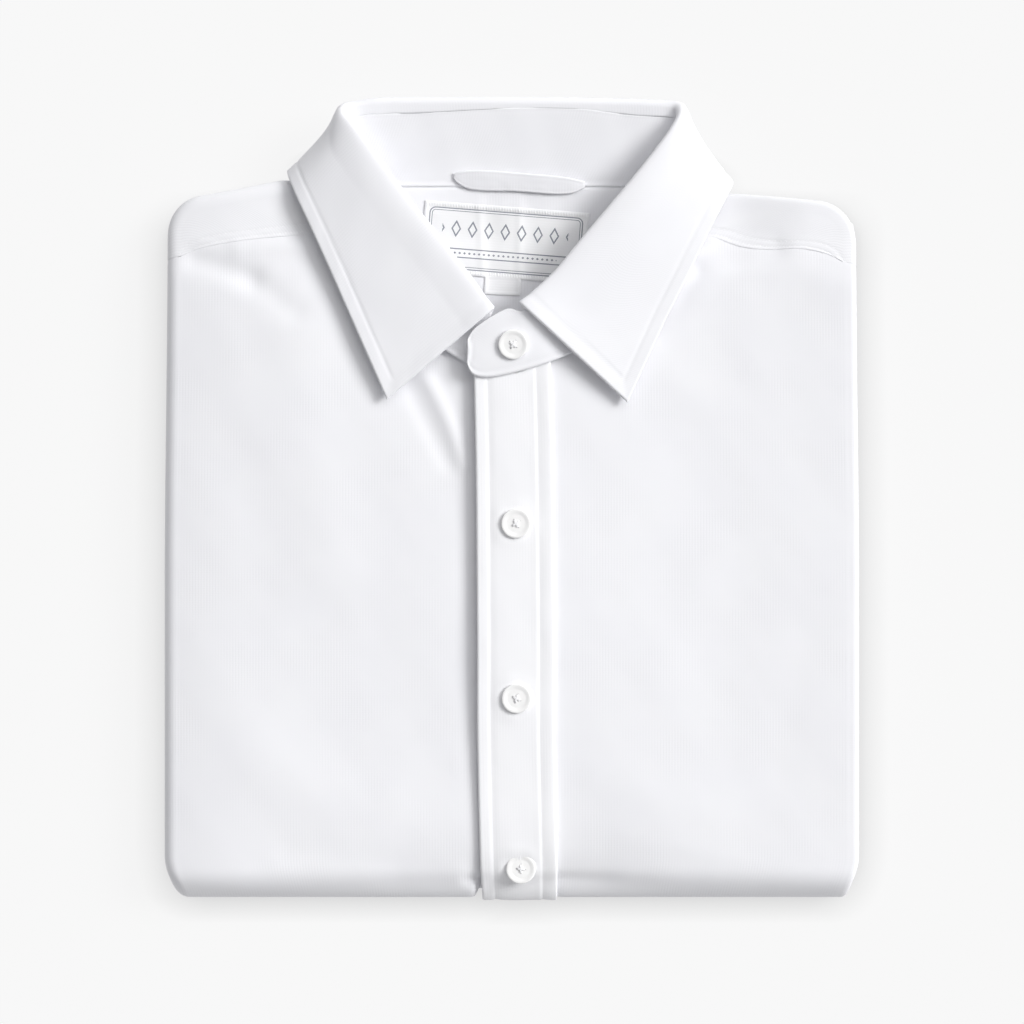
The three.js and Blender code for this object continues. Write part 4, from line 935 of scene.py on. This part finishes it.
def yoke_back_panel():
    """The inside of the yoke, that shows in the neck."""
    y = stops(62.8, 143.6, 1.5)
    half = np.interp(y, [62.8, 66, 72.5, 88, 106, 121.5, 130, 143.6], [8, 16, 29, 45, 59.5, 70, 79, 80])
    share = np.concatenate([[-1, -0.998, -0.993, -0.985], np.linspace(-0.97, 0.97, 84),
                            [0.985, 0.993, 0.998, 1]])
    x = half[:, None] * share[None, :]
    yy = y[:, None] + 0 * x
    from_edge = np.minimum(half[:, None] - np.abs(x), np.minimum(yy - y[0], y[-1] - yy))
    thick = rounded(from_edge, 0.9, 0.3)
    shape = back_relief(x, yy) * smooth(0, 3, from_edge)
    outer = np.stack([x, yy, YOKE_BACK_Z - CLOTH / 2 + CLOTH / 2 * thick + shape], -1)
    inner = np.stack([x, yy, YOKE_BACK_Z - CLOTH / 2 - CLOTH / 2 * thick + np.minimum(shape, 0)], -1)
    return shell("yoke_back_cloth", outer, inner, np.stack([x, yy], -1), KNIT)


yoke_back = dress(yoke_back_panel(), "yoke_back")


# ---------------------------------------------------------------- hidden layers
def neck_depth(x, y):
    """How far into the neck hollow a point is, in plan."""
    beside = np.maximum(np.abs(x) - NECK_HALF, 0)
    return y - curve_at(NECKLINE, np.clip(x, -NECK_HALF, NECK_HALF)) - beside * 1.2


def folded_stack():
    """The folded back with the turned-in sides, under the fronts: closed rings one after the other."""
    run = np.concatenate([[134.6, 134.2, 133, 131, 128.5], np.linspace(126, BEND_Y, 130),
                          BEND_Y - np.linspace(0, math.pi, 18)[1:] * BEND_RADIUS,
                          run_of_underside(np.linspace(-150, 112, 70)),
                          run_of_underside(np.array([115.5, 117.5, 118.8, 119.2]))])
    under_y = BEND_Y + (BEND_Y - math.pi * BEND_RADIUS - run)
    # both ends are rounded off, in width and in height
    shoulder, tail = run > 119, under_y > 112
    width = np.interp(run, [119, 128, 133, 135], [HALF_WIDTH, 148.4, 142, 134])
    width = np.where(tail, HALF_WIDTH - 4 * smooth(112, 119.5, under_y), width)
    half = np.full(len(run), LAYER_HALF)
    half[shoulder] *= np.sqrt(np.clip(1 - ((run[shoulder] - 119) / 16.0) ** 2, 0.05, 1))
    half[tail] *= np.sqrt(np.clip(1 - ((under_y[tail] - 112) / 7.6) ** 2, 0.05, 1))
    shares = np.linspace(-1, 1, 100)
    turns = np.radians(np.arange(15, 180, 15))
    middle = -FOLD_RADIUS
    pit = YOKE_BACK_Z - CLOTH - 0.5 - STACK
    rings = []
    for r, w, h in zip(run, width, half):
        flat = w - FOLD_RADIUS
        x = shares * flat
        lift = face_relief(x, r)
        top = np.maximum(middle + h - 0.35 + lift + closure_sink(x, r), middle - h + 0.5)
        if r > 40:
            # the upper layers open at the neck
            depth = neck_depth(x, r)
            top = np.where(depth > -2.5, np.minimum(top, mix(top, pit, smooth(-2.5, -0.5, depth))), top)
        under = np.minimum(middle - h, top - 0.4)
        right, left = (middle + out + (h + out) * np.cos(turns) for out in (lift[-1] / 2, lift[0] / 2))
        side = flat + h * np.sin(turns)
        ring_x = np.concatenate([x, side, x[::-1], -side[::-1]])
        ring_height = np.concatenate([top, right, under[::-1], left[::-1]])
        rings.append(np.stack([ring_x, np.full(len(ring_x), r), ring_height], -1))
    x, r, height = np.moveaxis(np.array(rings), -1, 0)
    points = along_run(x, np.maximum(r, run_of_underside(TAIL_START - 0.01)), height, 0 * x)
    rows, count = points.shape[:2]
    number = np.arange(rows * count).reshape(rows, count)
    after = np.roll(number, -1, 1)
    faces = np.stack([number[:-1], after[:-1], after[1:], number[1:]], -1).reshape(-1, 4).tolist()
    # each end is closed in strips from the upper face to the under face, as it isn't convex
    flat_count, turn_count = len(shares), len(turns)
    for ring, flip in ((number[0], True), (number[-1], False)):
        opposite = ring[flat_count + turn_count:2 * flat_count + turn_count][::-1]
        strips = [[ring[k], ring[k + 1], opposite[k + 1], opposite[k]] for k in range(flat_count - 1)]
        strips.append([ring[flat_count - 1], *ring[flat_count:flat_count + turn_count], opposite[-1]])
        strips.append([opposite[0], *ring[2 * flat_count + turn_count:], ring[0]])
        faces += [[int(i) for i in (strip[::-1] if flip else strip)] for strip in strips]
    uv = np.stack([x, r], -1).reshape(-1, 2)
    return make_mesh("folded_back_and_sides", points.reshape(-1, 3), faces, KNIT, uv)


def folded_sleeves(name, side):
    """Sleeve and cuff layers between the halves: two soft folds of cloth along one side."""
    y = np.linspace(-158, 124, 120)
    turns = np.radians(np.arange(0, 360, 30))
    pieces = []
    # height, distance in from the side and half thickness of each
    for layer, (z, inset, half) in enumerate([(BEND_RADIUS + 1.35, 2.6, 1.25),
                                              (BEND_RADIUS - 1.2, 3.8, 1.2)]):
        edge = HALF_WIDTH - inset - 0.9 * (1 + uneven(y, y * 0, 90.0, layer * 2 + side))
        edge = edge - 3 * smooth(-130, -160, y)
        rise = 0.25 * uneven(y, y * 0 + 9, 50.0, layer + side)
        squash = half * (0.85 + 0.15 * uneven(y, y * 0 + 30, 36.0, layer * 3 - side))
        ring = []
        for t in turns:
            out = np.where(math.cos(t) > 0, half * 1.6 * math.cos(t), 22 * math.cos(t))
            ring.append(np.stack([side * (edge - half * 1.6 + out), y, z + rise + squash * math.sin(t)], -1))
        pieces.append(np.stack(ring, 1))
    points, faces, uv, start = [], [], [], 0
    for grid in pieces:
        grid = settled(grid)
        rows, count = grid.shape[:2]
        number = np.arange(rows * count).reshape(rows, count) + start
        after = np.roll(number, -1, 1)
        quads = np.stack([number[:-1], after[:-1], after[1:], number[1:]], -1).reshape(-1, 4)
        caps = [number[0][::-1].tolist(), number[-1].tolist()]
        if side > 0:
            quads, caps = quads[:, ::-1], [c[::-1] for c in caps]
        faces += quads.tolist() + caps
        points.append(grid.reshape(-1, 3))
        uv.append(np.stack([lengths(grid, 1), grid[..., 1]], -1).reshape(-1, 2))
        start += rows * count
    return make_mesh(name, np.concatenate(points), faces, KNIT, np.concatenate(uv))


dress(folded_stack(), "hidden_layers", slot="knit_hidden")
dress(folded_sleeves("folded_sleeve_left", -1), slot="knit_hidden")
dress(folded_sleeves("folded_sleeve_right", 1), slot="knit_hidden")


# ---------------------------------------------------------------- collar
def ring_through(rows, part, t):
    """The smooth curve through one column of a table of sections. t runs in rows."""
    p = np.array([row[part] for row in rows], float)
    knots = np.concatenate([[0], np.cumsum(np.linalg.norm(np.diff(p, axis=0), axis=1) ** 0.6)])
    n = len(p)
    before, after = np.maximum(np.arange(n) - 1, 0), np.minimum(np.arange(n) + 1, n - 1)
    slope = (p[after] - p[before]) / (knots[after] - knots[before])[:, None]
    k = np.clip(np.floor(t).astype(int), 0, n - 2)
    s = (t - k)[:, None]
    span = (knots[k + 1] - knots[k])[:, None]
    return ((2 * s**3 - 3 * s**2 + 1) * p[k] + (s**3 - 2 * s**2 + s) * span * slope[k]
            + (3 * s**2 - 2 * s**3) * p[k + 1] + (s**3 - s**2) * span * slope[k + 1])


def unit(v):
    """Each vector at length 1."""
    return v / np.maximum(np.linalg.norm(v, axis=-1, keepdims=True), 1e-9)


SECTIONS = LEFT_SECTIONS + [BACK_SECTION] + RIGHT_SECTIONS[::-1]
STAND_ROWS = UNDER_STAND_END + SECTIONS + UPPER_STAND_END
FALL_ROWS = [LEFT_FALL_END] + SECTIONS + [RIGHT_FALL_END]


def wall(name, middle, thickness, thick, face, back, uv, material):
    """Cloth about its middle surface, with the heights of its face and of its back."""
    normal = normals_of(middle)
    outer = middle + normal * ((thickness / 2) * thick + face * thick)[..., None]
    inner = middle - normal * ((thickness / 2) * thick + back * thick)[..., None]
    return shell(name, outer, inner, uv, material), outer, inner, normal


def back_arch(top):
    """How much the top of the stand is arched at a point at the back of the neck."""
    return curve_at(BACK_ARCH, top[:, 0]) * smooth(160, 168, top[:, 1])


def row_places(rows, step):
    """Places along a table's rows, about step millimetres apart along the top of the stand."""
    t = np.linspace(0, len(rows) - 1, 2000)
    line = ring_through(rows, 1, t)
    run = np.concatenate([[0], np.cumsum(np.linalg.norm(np.diff(line, axis=0), axis=1))])
    return np.interp(stops(0, run[-1], step), run, t)


def collar_stand():
    """The stand, with its stitched lower edge and front end."""
    t = row_places(STAND_ROWS, 1.6)
    low, high = ring_through(STAND_ROWS, 0, t), ring_through(STAND_ROWS, 1, t)
    high = high + unit(high - low) * back_arch(high)[:, None]
    share = np.concatenate([[0, 0.004, 0.012, 0.025, 0.04], np.linspace(0.06, 0.95, 26), [0.97, 0.985, 1]])
    middle = low[:, None] + (high - low)[:, None] * share[None, :, None]
    from_low, along = lengths(middle, 1), lengths(middle, 0)
    from_high = from_low[:, -1:] - from_low
    from_ends = np.minimum(along, along[-1:] - along)
    # the lower edge is free in front and sewn in elsewhere
    low_edge = mix(rounded(from_low, 0.6, 0.7), rounded(from_low, 1.3, 0.3), (low[:, 1] < 90)[:, None])
    thick = np.minimum(np.minimum(low_edge, rounded(from_ends)), rounded(from_high, 0.5, 0.9))
    front = smooth(len(STAND_ROWS) - 6.5, len(STAND_ROWS) - 4.5, t)[:, None]
    edge = mix(from_low, np.minimum(from_low, from_ends), front)
    sewn = seam(edge, 2.4, along, 0.32, 0.5, 0.26)
    sewn = sewn + 0.22 * uneven(along, from_low, 30.0, 2.0) * smooth(2, 10, from_low)
    # a second row of stitching joins the fall
    ridge = seam(from_high, JOIN_INSET, along, 0.02, 3.0, 0.1)
    made = wall("collar_stand_cloth", middle, COLLAR_CLOTH, thick, sewn + ridge, sewn + ridge,
                np.stack([along, from_low], -1), KNIT_COLLAR_PAINTED_LIGHTER)
    return *made, from_low, from_high


stand, stand_outer, stand_inner, stand_normal, stand_low, stand_high = collar_stand()
dress(stand, "collar_stand", slot="knit_doubled")


def fall_middle(t, across):
    """Middle of the fall's cloth: up from the stand, over the roll and down to its outer edge."""
    top, edge, foot = (ring_through(FALL_ROWS, part, t) for part in (1, 2, 0))
    rise = np.interp(t, np.arange(len(FALL_ROWS)), [row[3] for row in FALL_ROWS])
    up = unit(top - foot)
    along = unit(ring_through(FALL_ROWS, 1, np.minimum(t + 0.15, len(FALL_ROWS) - 1))
                 - ring_through(FALL_ROWS, 1, np.maximum(t - 0.15, 0)))
    out = unit(np.cross(up, along))
    for _ in range(6):
        out[1:-1] = unit(out[:-2] + 2 * out[1:-1] + out[2:])
    place = t / (len(FALL_ROWS) - 1)
    backness = smooth(0.24, 0.34, place) * (1 - smooth(0.66, 0.76, place))
    arch = back_arch(top)
    top = top + up * arch[:, None]
    height = mix(FRONT_ROLL_RISE, BACK_ROLL_RISE, backness) - arch
    first = top - up * 0.3
    centre = top + up * height[:, None] + out * ROLL_RADIUS
    points = [mix(first, centre - out * ROLL_RADIUS, s) for s in np.linspace(0, 1, 5)[:-1]]
    # in front the fold is sharp at its edge and broad on the face of the leaf
    crest = centre + up * ROLL_RADIUS
    behind = backness[:, None]
    toward = edge - crest
    toward = unit(mix(unit(toward - out * (toward * out).sum(1)[:, None]), -up, behind))
    slope = mix(ROLL_SLOPE, ROLL_RADIUS, behind)
    for turn in np.radians(np.linspace(0, 90, 10)[:-1]):
        points.append(centre - out * ROLL_RADIUS * math.cos(turn) + up * ROLL_RADIUS * math.sin(turn))
    for s in np.linspace(0, 1, 15):
        along_leaf = mix(s**1.6, 1 - math.cos(math.pi / 2 * s), behind)
        above = mix(1 - (1 - s) ** 2, math.sin(math.pi / 2 * s), behind)
        points.append(crest + toward * slope * along_leaf + out * ROLL_RADIUS * above)
    start = points[-1]
    reach = np.linalg.norm(edge - start, axis=1)[:, None]
    one = mix(mix(start, edge, 0.3), start - up * 0.3 * reach, behind) + out * (0.3 * rise)[:, None]
    two = mix(edge, start, 0.3) + out * (0.35 * rise)[:, None]
    for s in across:
        left = 1 - s
        points.append(left**3 * start + 3 * left**2 * s * one + 3 * left * s**2 * two + s**3 * edge)
    return np.stack(points, 1)


def collar_fall():
    """The fall: over the roll, down to its points and its stitched edges."""
    t = row_places(FALL_ROWS, 1.5)
    across = np.concatenate([np.linspace(0, 0.8, 27)[1:], np.linspace(0.8, 0.97, 10)[1:],
                             [0.978, 0.985, 0.991, 0.996, 1.0]])
    middle = fall_middle(t, across)
    run = lengths(middle, 1)
    from_edge = run[:, -1:] - run
    along = lengths(middle, 0)
    from_ends = np.minimum(along, along[-1:] - along)
    thick = np.minimum(np.minimum(rounded(from_edge, 1.0), rounded(from_ends, 1.0)), rounded(run, 0.5, 0.9))
    edge = np.minimum(from_edge, from_ends)
    leaf = smooth(6, 14, run)
    sewn = seam(edge, FALL_INSET, along + run, 0.42, 1.1, 0.28)
    soft = 0.2 * uneven(along, run, 38.0, 1.7) * smooth(4, 14, edge) * leaf
    obj, outer, _, normal = wall("collar_fall_cloth", middle, COLLAR_CLOTH, thick, sewn + soft,
                                 sewn * 0.6 - soft, np.stack([along, run], -1), KNIT_COLLAR_PAINTED_LIGHTER)
    return obj, outer, normal, run, from_edge, along


fall, fall_outer, fall_normal, fall_run, fall_edge, fall_along = collar_fall()
dress(fall, "collar_fall", slot="knit_doubled")


def collar_lines():
    """The fall's stitched line: along its outer edge and down both front edges."""
    points, ups = line_at(fall_outer[:, ::-1], fall_normal[:, ::-1], fall_edge[:, ::-1], FALL_INSET, 1)
    # along the outer edge it stops as far from each front edge
    columns = [-1 - int(round(np.interp(FALL_INSET, row, np.arange(len(row))))) for row in fall_edge[:, ::-1]]
    before = np.array([fall_along[row, column] for row, column in enumerate(columns)])
    after = np.array([fall_along[-1, column] for column in columns]) - before
    keep = np.minimum(before, after) >= FALL_INSET
    lines = [(points[keep], ups[keep])]
    left = (fall_outer, fall_normal, fall_along, fall_edge[0])
    right = (fall_outer[::-1], fall_normal[::-1], (fall_along[-1:] - fall_along)[::-1], fall_edge[-1])
    for grid, normal, measure, from_edge in (left, right):
        points, ups = line_at(grid, normal, measure, FALL_INSET, 0)
        chosen = (from_edge >= FALL_INSET) & (fall_run[0] > 12)
        lines.append((points[chosen], ups[chosen]))
    return lines


def stand_lines():
    """The stand's stitched lines: along its foot, outside and inside, and inside along the fall's seam."""
    lines = [line_at(stand_outer, stand_normal, stand_low, FOOT_INSET, 1),
             line_at(stand_inner, -stand_normal, stand_low, FOOT_INSET, 1),
             line_at(stand_inner[:, ::-1], -stand_normal[:, ::-1], stand_high[:, ::-1], JOIN_INSET, 1)]
    return [(points[4:-4], ups[4:-4]) for points, ups in lines]


stitches("collar_fall_topstitch", collar_lines(), size=0.55, sink=0.2)
stitches("collar_stand_topstitch", stand_lines(), size=0.55, sink=0.2)


# ---------------------------------------------------------------- label, tab and loop
def sewn_patch(name, spec, material, ripple=1.0):
    """A woven patch sewn down on the back yoke, whose ripples it follows."""
    w, h = spec["width"], spec["height"]
    u, v = stops(-w / 2, w / 2, 1.0)[None, :], stops(-h / 2, h / 2, 1.0)[:, None]
    u, v = u + 0 * v, v + 0 * u
    c, s = math.cos(spec["turn"]), math.sin(spec["turn"])
    x, y = spec["x"] + u * c - v * s, spec["y"] + u * s + v * c
    from_edge = np.minimum(w / 2 - np.abs(u), h / 2 - np.abs(v))
    thick = rounded(from_edge, 0.4)
    lift = back_relief(x, y) + (YOKE_BACK_Z + 0.12) + 0.18 * bump(from_edge, 0.9, 0.5)
    lift = lift + ripple * 0.25 * smooth(2, 9, from_edge) * (1 + uneven(x, y, 30.0, 2.2))
    outer = np.stack([x, y, lift + PATCH_CLOTH / 2 + PATCH_CLOTH / 2 * thick], -1)
    inner = np.stack([x, y, lift + PATCH_CLOTH / 2 - PATCH_CLOTH / 2 * thick], -1)
    return shell(name, outer, inner, np.stack([u, v], -1), material), outer


def inset_lines(outer, inset, spec, sides):
    """Straight lines on a patch at one distance inside its edges: foot, right side, top, left side."""
    w, h = spec["width"] / 2 - inset, spec["height"] / 2 - inset
    corners = [(-w, -h), (w, -h), (w, h), (-w, h)]
    c, s = math.cos(spec["turn"]), math.sin(spec["turn"])
    flat = outer.reshape(-1, 3)
    lines = []
    for k in sides:
        (x0, y0), (x1, y1) = corners[k], corners[(k + 1) % 4]
        t = np.linspace(0, 1, 60)
        u, v = mix(x0, x1, t), mix(y0, y1, t)
        x, y = spec["x"] + u * c - v * s, spec["y"] + u * s + v * c
        nearest = [np.argmin((flat[:, 0] - a) ** 2 + (flat[:, 1] - b) ** 2) for a, b in zip(x, y)]
        z = flat[nearest, 2]
        lines.append((np.stack([x, y, z], -1), np.tile([0.0, 0, 1], (60, 1))))
    return lines


def overcast(lines, tall, pitch):
    """Short upright bars side by side along lines that run straight in plan, as an overlock leaves them."""
    bars = []
    for path, up in lines:
        length = np.linalg.norm(path[-1] - path[0])
        upright = np.cross([0.0, 0, 1], unit(path[-1] - path[0]))
        for share in np.arange(pitch / 2, length, pitch) / length:
            here = path[int(round(share * (len(path) - 1)))]
            bars.append((np.array([here - upright * tall / 2, here + upright * tall / 2]), up[:2]))
    return bars


label, label_top = sewn_patch("neck_label_cloth", LABEL, LABEL_SATIN)
tab, tab_top = sewn_patch("size_tab_cloth", SIZE_TAB, SATIN, 0.4)
dress(label, "neck_label", slot="satin")
dress(tab, "size_tab", slot="satin")
stitches("neck_label_overcast", overcast(inset_lines(label_top, 1.25, LABEL, (0, 2)), 2.2, 1.2),
         pitch=2.2, size=0.8)
stitches("neck_label_stitches", inset_lines(label_top, 0.9, LABEL, (1, 3)), pitch=2.6, size=0.6)
stitches("size_tab_stitches", inset_lines(tab_top, 0.8, SIZE_TAB, (1, 2, 3)), pitch=2.4, size=0.5)

# upper and lower edge of the loop from its left end to its right, in plan
LOOP_TOP = [(-26.4, 146.8), (-24, 147.7), (-15, 148.3), (4, 147.0), (25, 145.0), (33, 143.2)]
LOOP_FOOT = [(-26.4, 145.2), (-24.5, 142.6), (-18, 139.5), (2, 138.7), (20, 137.4), (28, 138.0), (33, 140.4)]


def hanging_loop():
    """A narrow folded band, held at both ends in the seam of the stand and slack between them."""
    t = np.concatenate([[0, 0.006, 0.014, 0.026], np.linspace(0.04, 0.965, 60), [0.982, 0.994, 1]])[:, None]
    side = np.linspace(-1, 1, 21)[None, :] / 2
    x = mix(LOOP_TOP[0][0], LOOP_TOP[-1][0], t)
    high, low = curve_at(LOOP_TOP, x), curve_at(LOOP_FOOT, x)
    width, y = high - low, (high + low) / 2
    z = YOKE_BACK_Z + 3.5 + 0.9 * np.sin(math.pi * t) ** 0.6
    lean = 1.5 * width / 8
    x = x + 0 * side
    middle = np.stack([x, y + side * width, z + side * lean], -1)
    from_side = (0.5 - np.abs(side)) * width
    thick = np.minimum(rounded(from_side, 0.7), rounded(np.minimum(t, 1 - t) * 58, 0.8, 0.3))
    shape = seam(from_side, 1.3, x, 0.05, 1.0, 0.1) + 0.12 * uneven(x, from_side, 12.0, 1.0)
    return wall("hanging_loop_cloth", middle, CLOTH, thick, shape, shape,
                np.stack([x, side * width], -1), KNIT)[0]


dress(hanging_loop(), "hanging_loop")


# ---------------------------------------------------------------- buttons
def button_form():
    """A four-hole shirt button with a rounded rim and a shallow dish, turned from a disc."""
    r, h = BUTTON_ACROSS / 2, BUTTON_THICK
    bpy.ops.object.select_all(action="DESELECT")
    bpy.ops.mesh.primitive_cylinder_add(vertices=48, radius=r, depth=h)
    disc = bpy.context.object
    bpy.ops.object.mode_set(mode="EDIT")
    bpy.ops.mesh.select_mode(type="FACE")
    bpy.ops.mesh.select_all(action="DESELECT")
    bpy.ops.object.mode_set(mode="OBJECT")
    for face in disc.data.polygons:
        face.select = face.normal.z > 0.9
    bpy.ops.object.mode_set(mode="EDIT")
    bpy.ops.mesh.inset(thickness=1.3)
    bpy.ops.mesh.inset(thickness=0.9)
    bpy.ops.transform.translate(value=(0, 0, -BUTTON_DISH))
    bpy.ops.mesh.inset(thickness=1.2)
    bpy.ops.object.mode_set(mode="OBJECT")
    bevel = disc.modifiers.new("rim", "BEVEL")
    bevel.width, bevel.segments, bevel.limit_method, bevel.angle_limit = 0.55, 4, "ANGLE", math.radians(20)
    bpy.ops.object.modifier_apply(modifier="rim")
    for sx in (-1, 1):
        for sy in (-1, 1):
            bpy.ops.mesh.primitive_cylinder_add(vertices=16, radius=HOLE_RADIUS, depth=3 * h,
                                                location=(sx * 1.35, sy * 1.5, 0))
            drill = bpy.context.object
            bpy.ops.object.select_all(action="DESELECT")
            disc.select_set(True)
            bpy.context.view_layer.objects.active = disc
            hole = disc.modifiers.new("hole", "BOOLEAN")
            hole.operation, hole.object, hole.solver = "DIFFERENCE", drill, "EXACT"
            bpy.ops.object.modifier_apply(modifier="hole")
            bpy.data.objects.remove(drill, do_unlink=True)
    points = np.array([v.co[:] for v in disc.data.vertices])
    faces = [list(p.vertices) for p in disc.data.polygons]
    bpy.data.objects.remove(disc, do_unlink=True)
    return points, faces


def thread_form():
    """Two crossed strands over a button's holes."""
    points, faces, start = [], [], 0
    for turn in (math.radians(48), math.radians(-48)):
        for shift in (-0.2, 0.2):
            t = np.linspace(-1, 1, 9)
            x = 2.05 * t
            z = 0.3 * (1 - np.abs(t) ** 3) - 0.5 * np.clip(np.abs(t) - 0.86, 0, 1) / 0.14
            c, s = math.cos(turn), math.sin(turn)
            path = np.stack([x * c - shift * s, x * s + shift * c, z], -1)
            side = np.array([-s, c, 0])
            up = np.array([0, 0, 1])
            grid = np.stack([path + side * THREAD_RADIUS * math.cos(a) + up * THREAD_RADIUS * math.sin(a)
                             for a in np.radians(np.arange(0, 360, 60))], 1)
            number = np.arange(grid.shape[0] * 6).reshape(-1, 6) + start
            after = np.roll(number, -1, 1)
            faces += np.stack([number[:-1], number[1:], after[1:], after[:-1]], -1).reshape(-1, 4).tolist()
            faces += [number[0].tolist(), number[-1][::-1].tolist()]
            points.append(grid.reshape(-1, 3))
            start += grid.shape[0] * 6
    return np.concatenate(points), faces


BUTTON_POINTS, BUTTON_FACES = button_form()
THREAD_POINTS, THREAD_FACES = thread_form()
# twist of each button about its shank, in degrees
BUTTON_TWISTS = {"button_collar": 8, "button_upper": -14, "button_middle": 22, "button_lower": 41,
                 "button_beneath_1": 12, "button_beneath_2": -30, "button_beneath_3": 5}
# how far each sits to the right of the placket's middle
BUTTON_SHIFT = {"button_upper": 0.4, "button_middle": 0.3, "button_lower": 0.9}


def place_form(points, centre, up, twist):
    """Points set at a centre, with Z along up, and twisted about it in degrees."""
    up = unit(np.asarray(up, float))
    side = unit(np.cross([0, 1, 0], up))
    ahead = np.cross(up, side)
    c, s = math.cos(math.radians(twist)), math.sin(math.radians(twist))
    return points @ np.array([side * c + ahead * s, ahead * c - side * s, up]) + centre


def sew_button(name, centre, up):
    """One button and its thread."""
    twist = BUTTON_TWISTS[name]
    disc = make_mesh(name + "_shell", place_form(BUTTON_POINTS, centre, up, twist), BUTTON_FACES, SHELL)
    bpy.ops.object.select_all(action="DESELECT")
    disc.select_set(True)
    bpy.context.view_layer.objects.active = disc
    bpy.ops.object.shade_smooth_by_angle(angle=math.radians(35))
    dress(disc, name, slot="button")
    lifted = THREAD_POINTS + np.array([0, 0, BUTTON_THICK / 2 - BUTTON_DISH + 0.1])
    strands = make_mesh(name + "_thread", place_form(lifted, centre, up, twist), THREAD_FACES, THREAD)
    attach(strands, "root")


for name, run in BUTTON_RUNS.items():
    across = placket_middle(run) + BUTTON_SHIFT.get(name, 0)
    low, high = (body_point(across, run, PLACKET_TOP + BUTTON_GAP + rise) for rise in (0, 1))
    sew_button(name, low + (high - low) * BUTTON_THICK / 2, high - low)
# the front end of the stand rises a little towards the neck
stand_rise = 0.08
sew_button("button_collar", np.array([0.7, 69.3, 34.95 + BUTTON_GAP + BUTTON_THICK / 2]),
           (0, -math.sin(stand_rise), math.cos(stand_rise)))


def buttonhole(name, middle_run):
    """Two close rows of satin stitch along the placket."""
    lines = []
    for side in (-0.75, 0.75):
        run = np.linspace(middle_run + BUTTONHOLE_HALF, middle_run - BUTTONHOLE_HALF, 30)
        x = placket_middle(run) + side
        points = body_point(x, run, PLACKET_TOP + 0.02)
        lines.append((points, body_point(x, run, PLACKET_TOP + 1.02) - points))
    stitches(name, lines, pitch=0.8, size=0.62)


for name, run in BUTTON_RUNS.items():
    if not name.startswith("button_beneath"):
        buttonhole(name.replace("button", "buttonhole"), run)


# ---------------------------------------------------------------- floor, light and camera
def floor():
    """A wide board, that carries the shirt and fills the picture."""
    bpy.ops.object.select_all(action="DESELECT")
    bpy.ops.mesh.primitive_plane_add(size=6, location=(0, 0, 0))
    board = bpy.context.object
    board.name = "floor"
    board.data.materials.append(BOARD)


def sun(name, azimuth, elevation, strength, softness):
    """A broad light from afar. softness is its width in degrees."""
    data = bpy.data.lights.new(name, "SUN")
    data.energy, data.angle = strength, math.radians(softness)
    obj = bpy.data.objects.new(name, data)
    bpy.context.scene.collection.objects.link(obj)
    obj.rotation_euler = (0, math.radians(90 - elevation), math.radians(azimuth))


floor()
sun("soft_key", 20, 37, 2.2, 25)
sun("soft_top", 50, 50, 0.95, 50)
world = bpy.data.worlds.new("white_studio")
bpy.context.scene.world = world
world.use_nodes = True
world.node_tree.nodes["Background"].inputs[0].default_value = (0.975, 0.98, 1.0, 1)
world.node_tree.nodes["Background"].inputs[1].default_value = 0.336

lens = bpy.data.cameras.new("camera")
lens.lens, lens.sensor_width, lens.clip_end = 200, 36, 20
camera = bpy.data.objects.new("camera", lens)
bpy.context.scene.collection.objects.link(camera)
camera.location = (0.0002, -0.00585, 2.586)
camera.rotation_euler = (0, 0, 0)
bpy.context.scene.camera = camera
view = bpy.context.scene.view_settings
view.view_transform, view.look, view.exposure, view.gamma = "Standard", "None", 0, 1
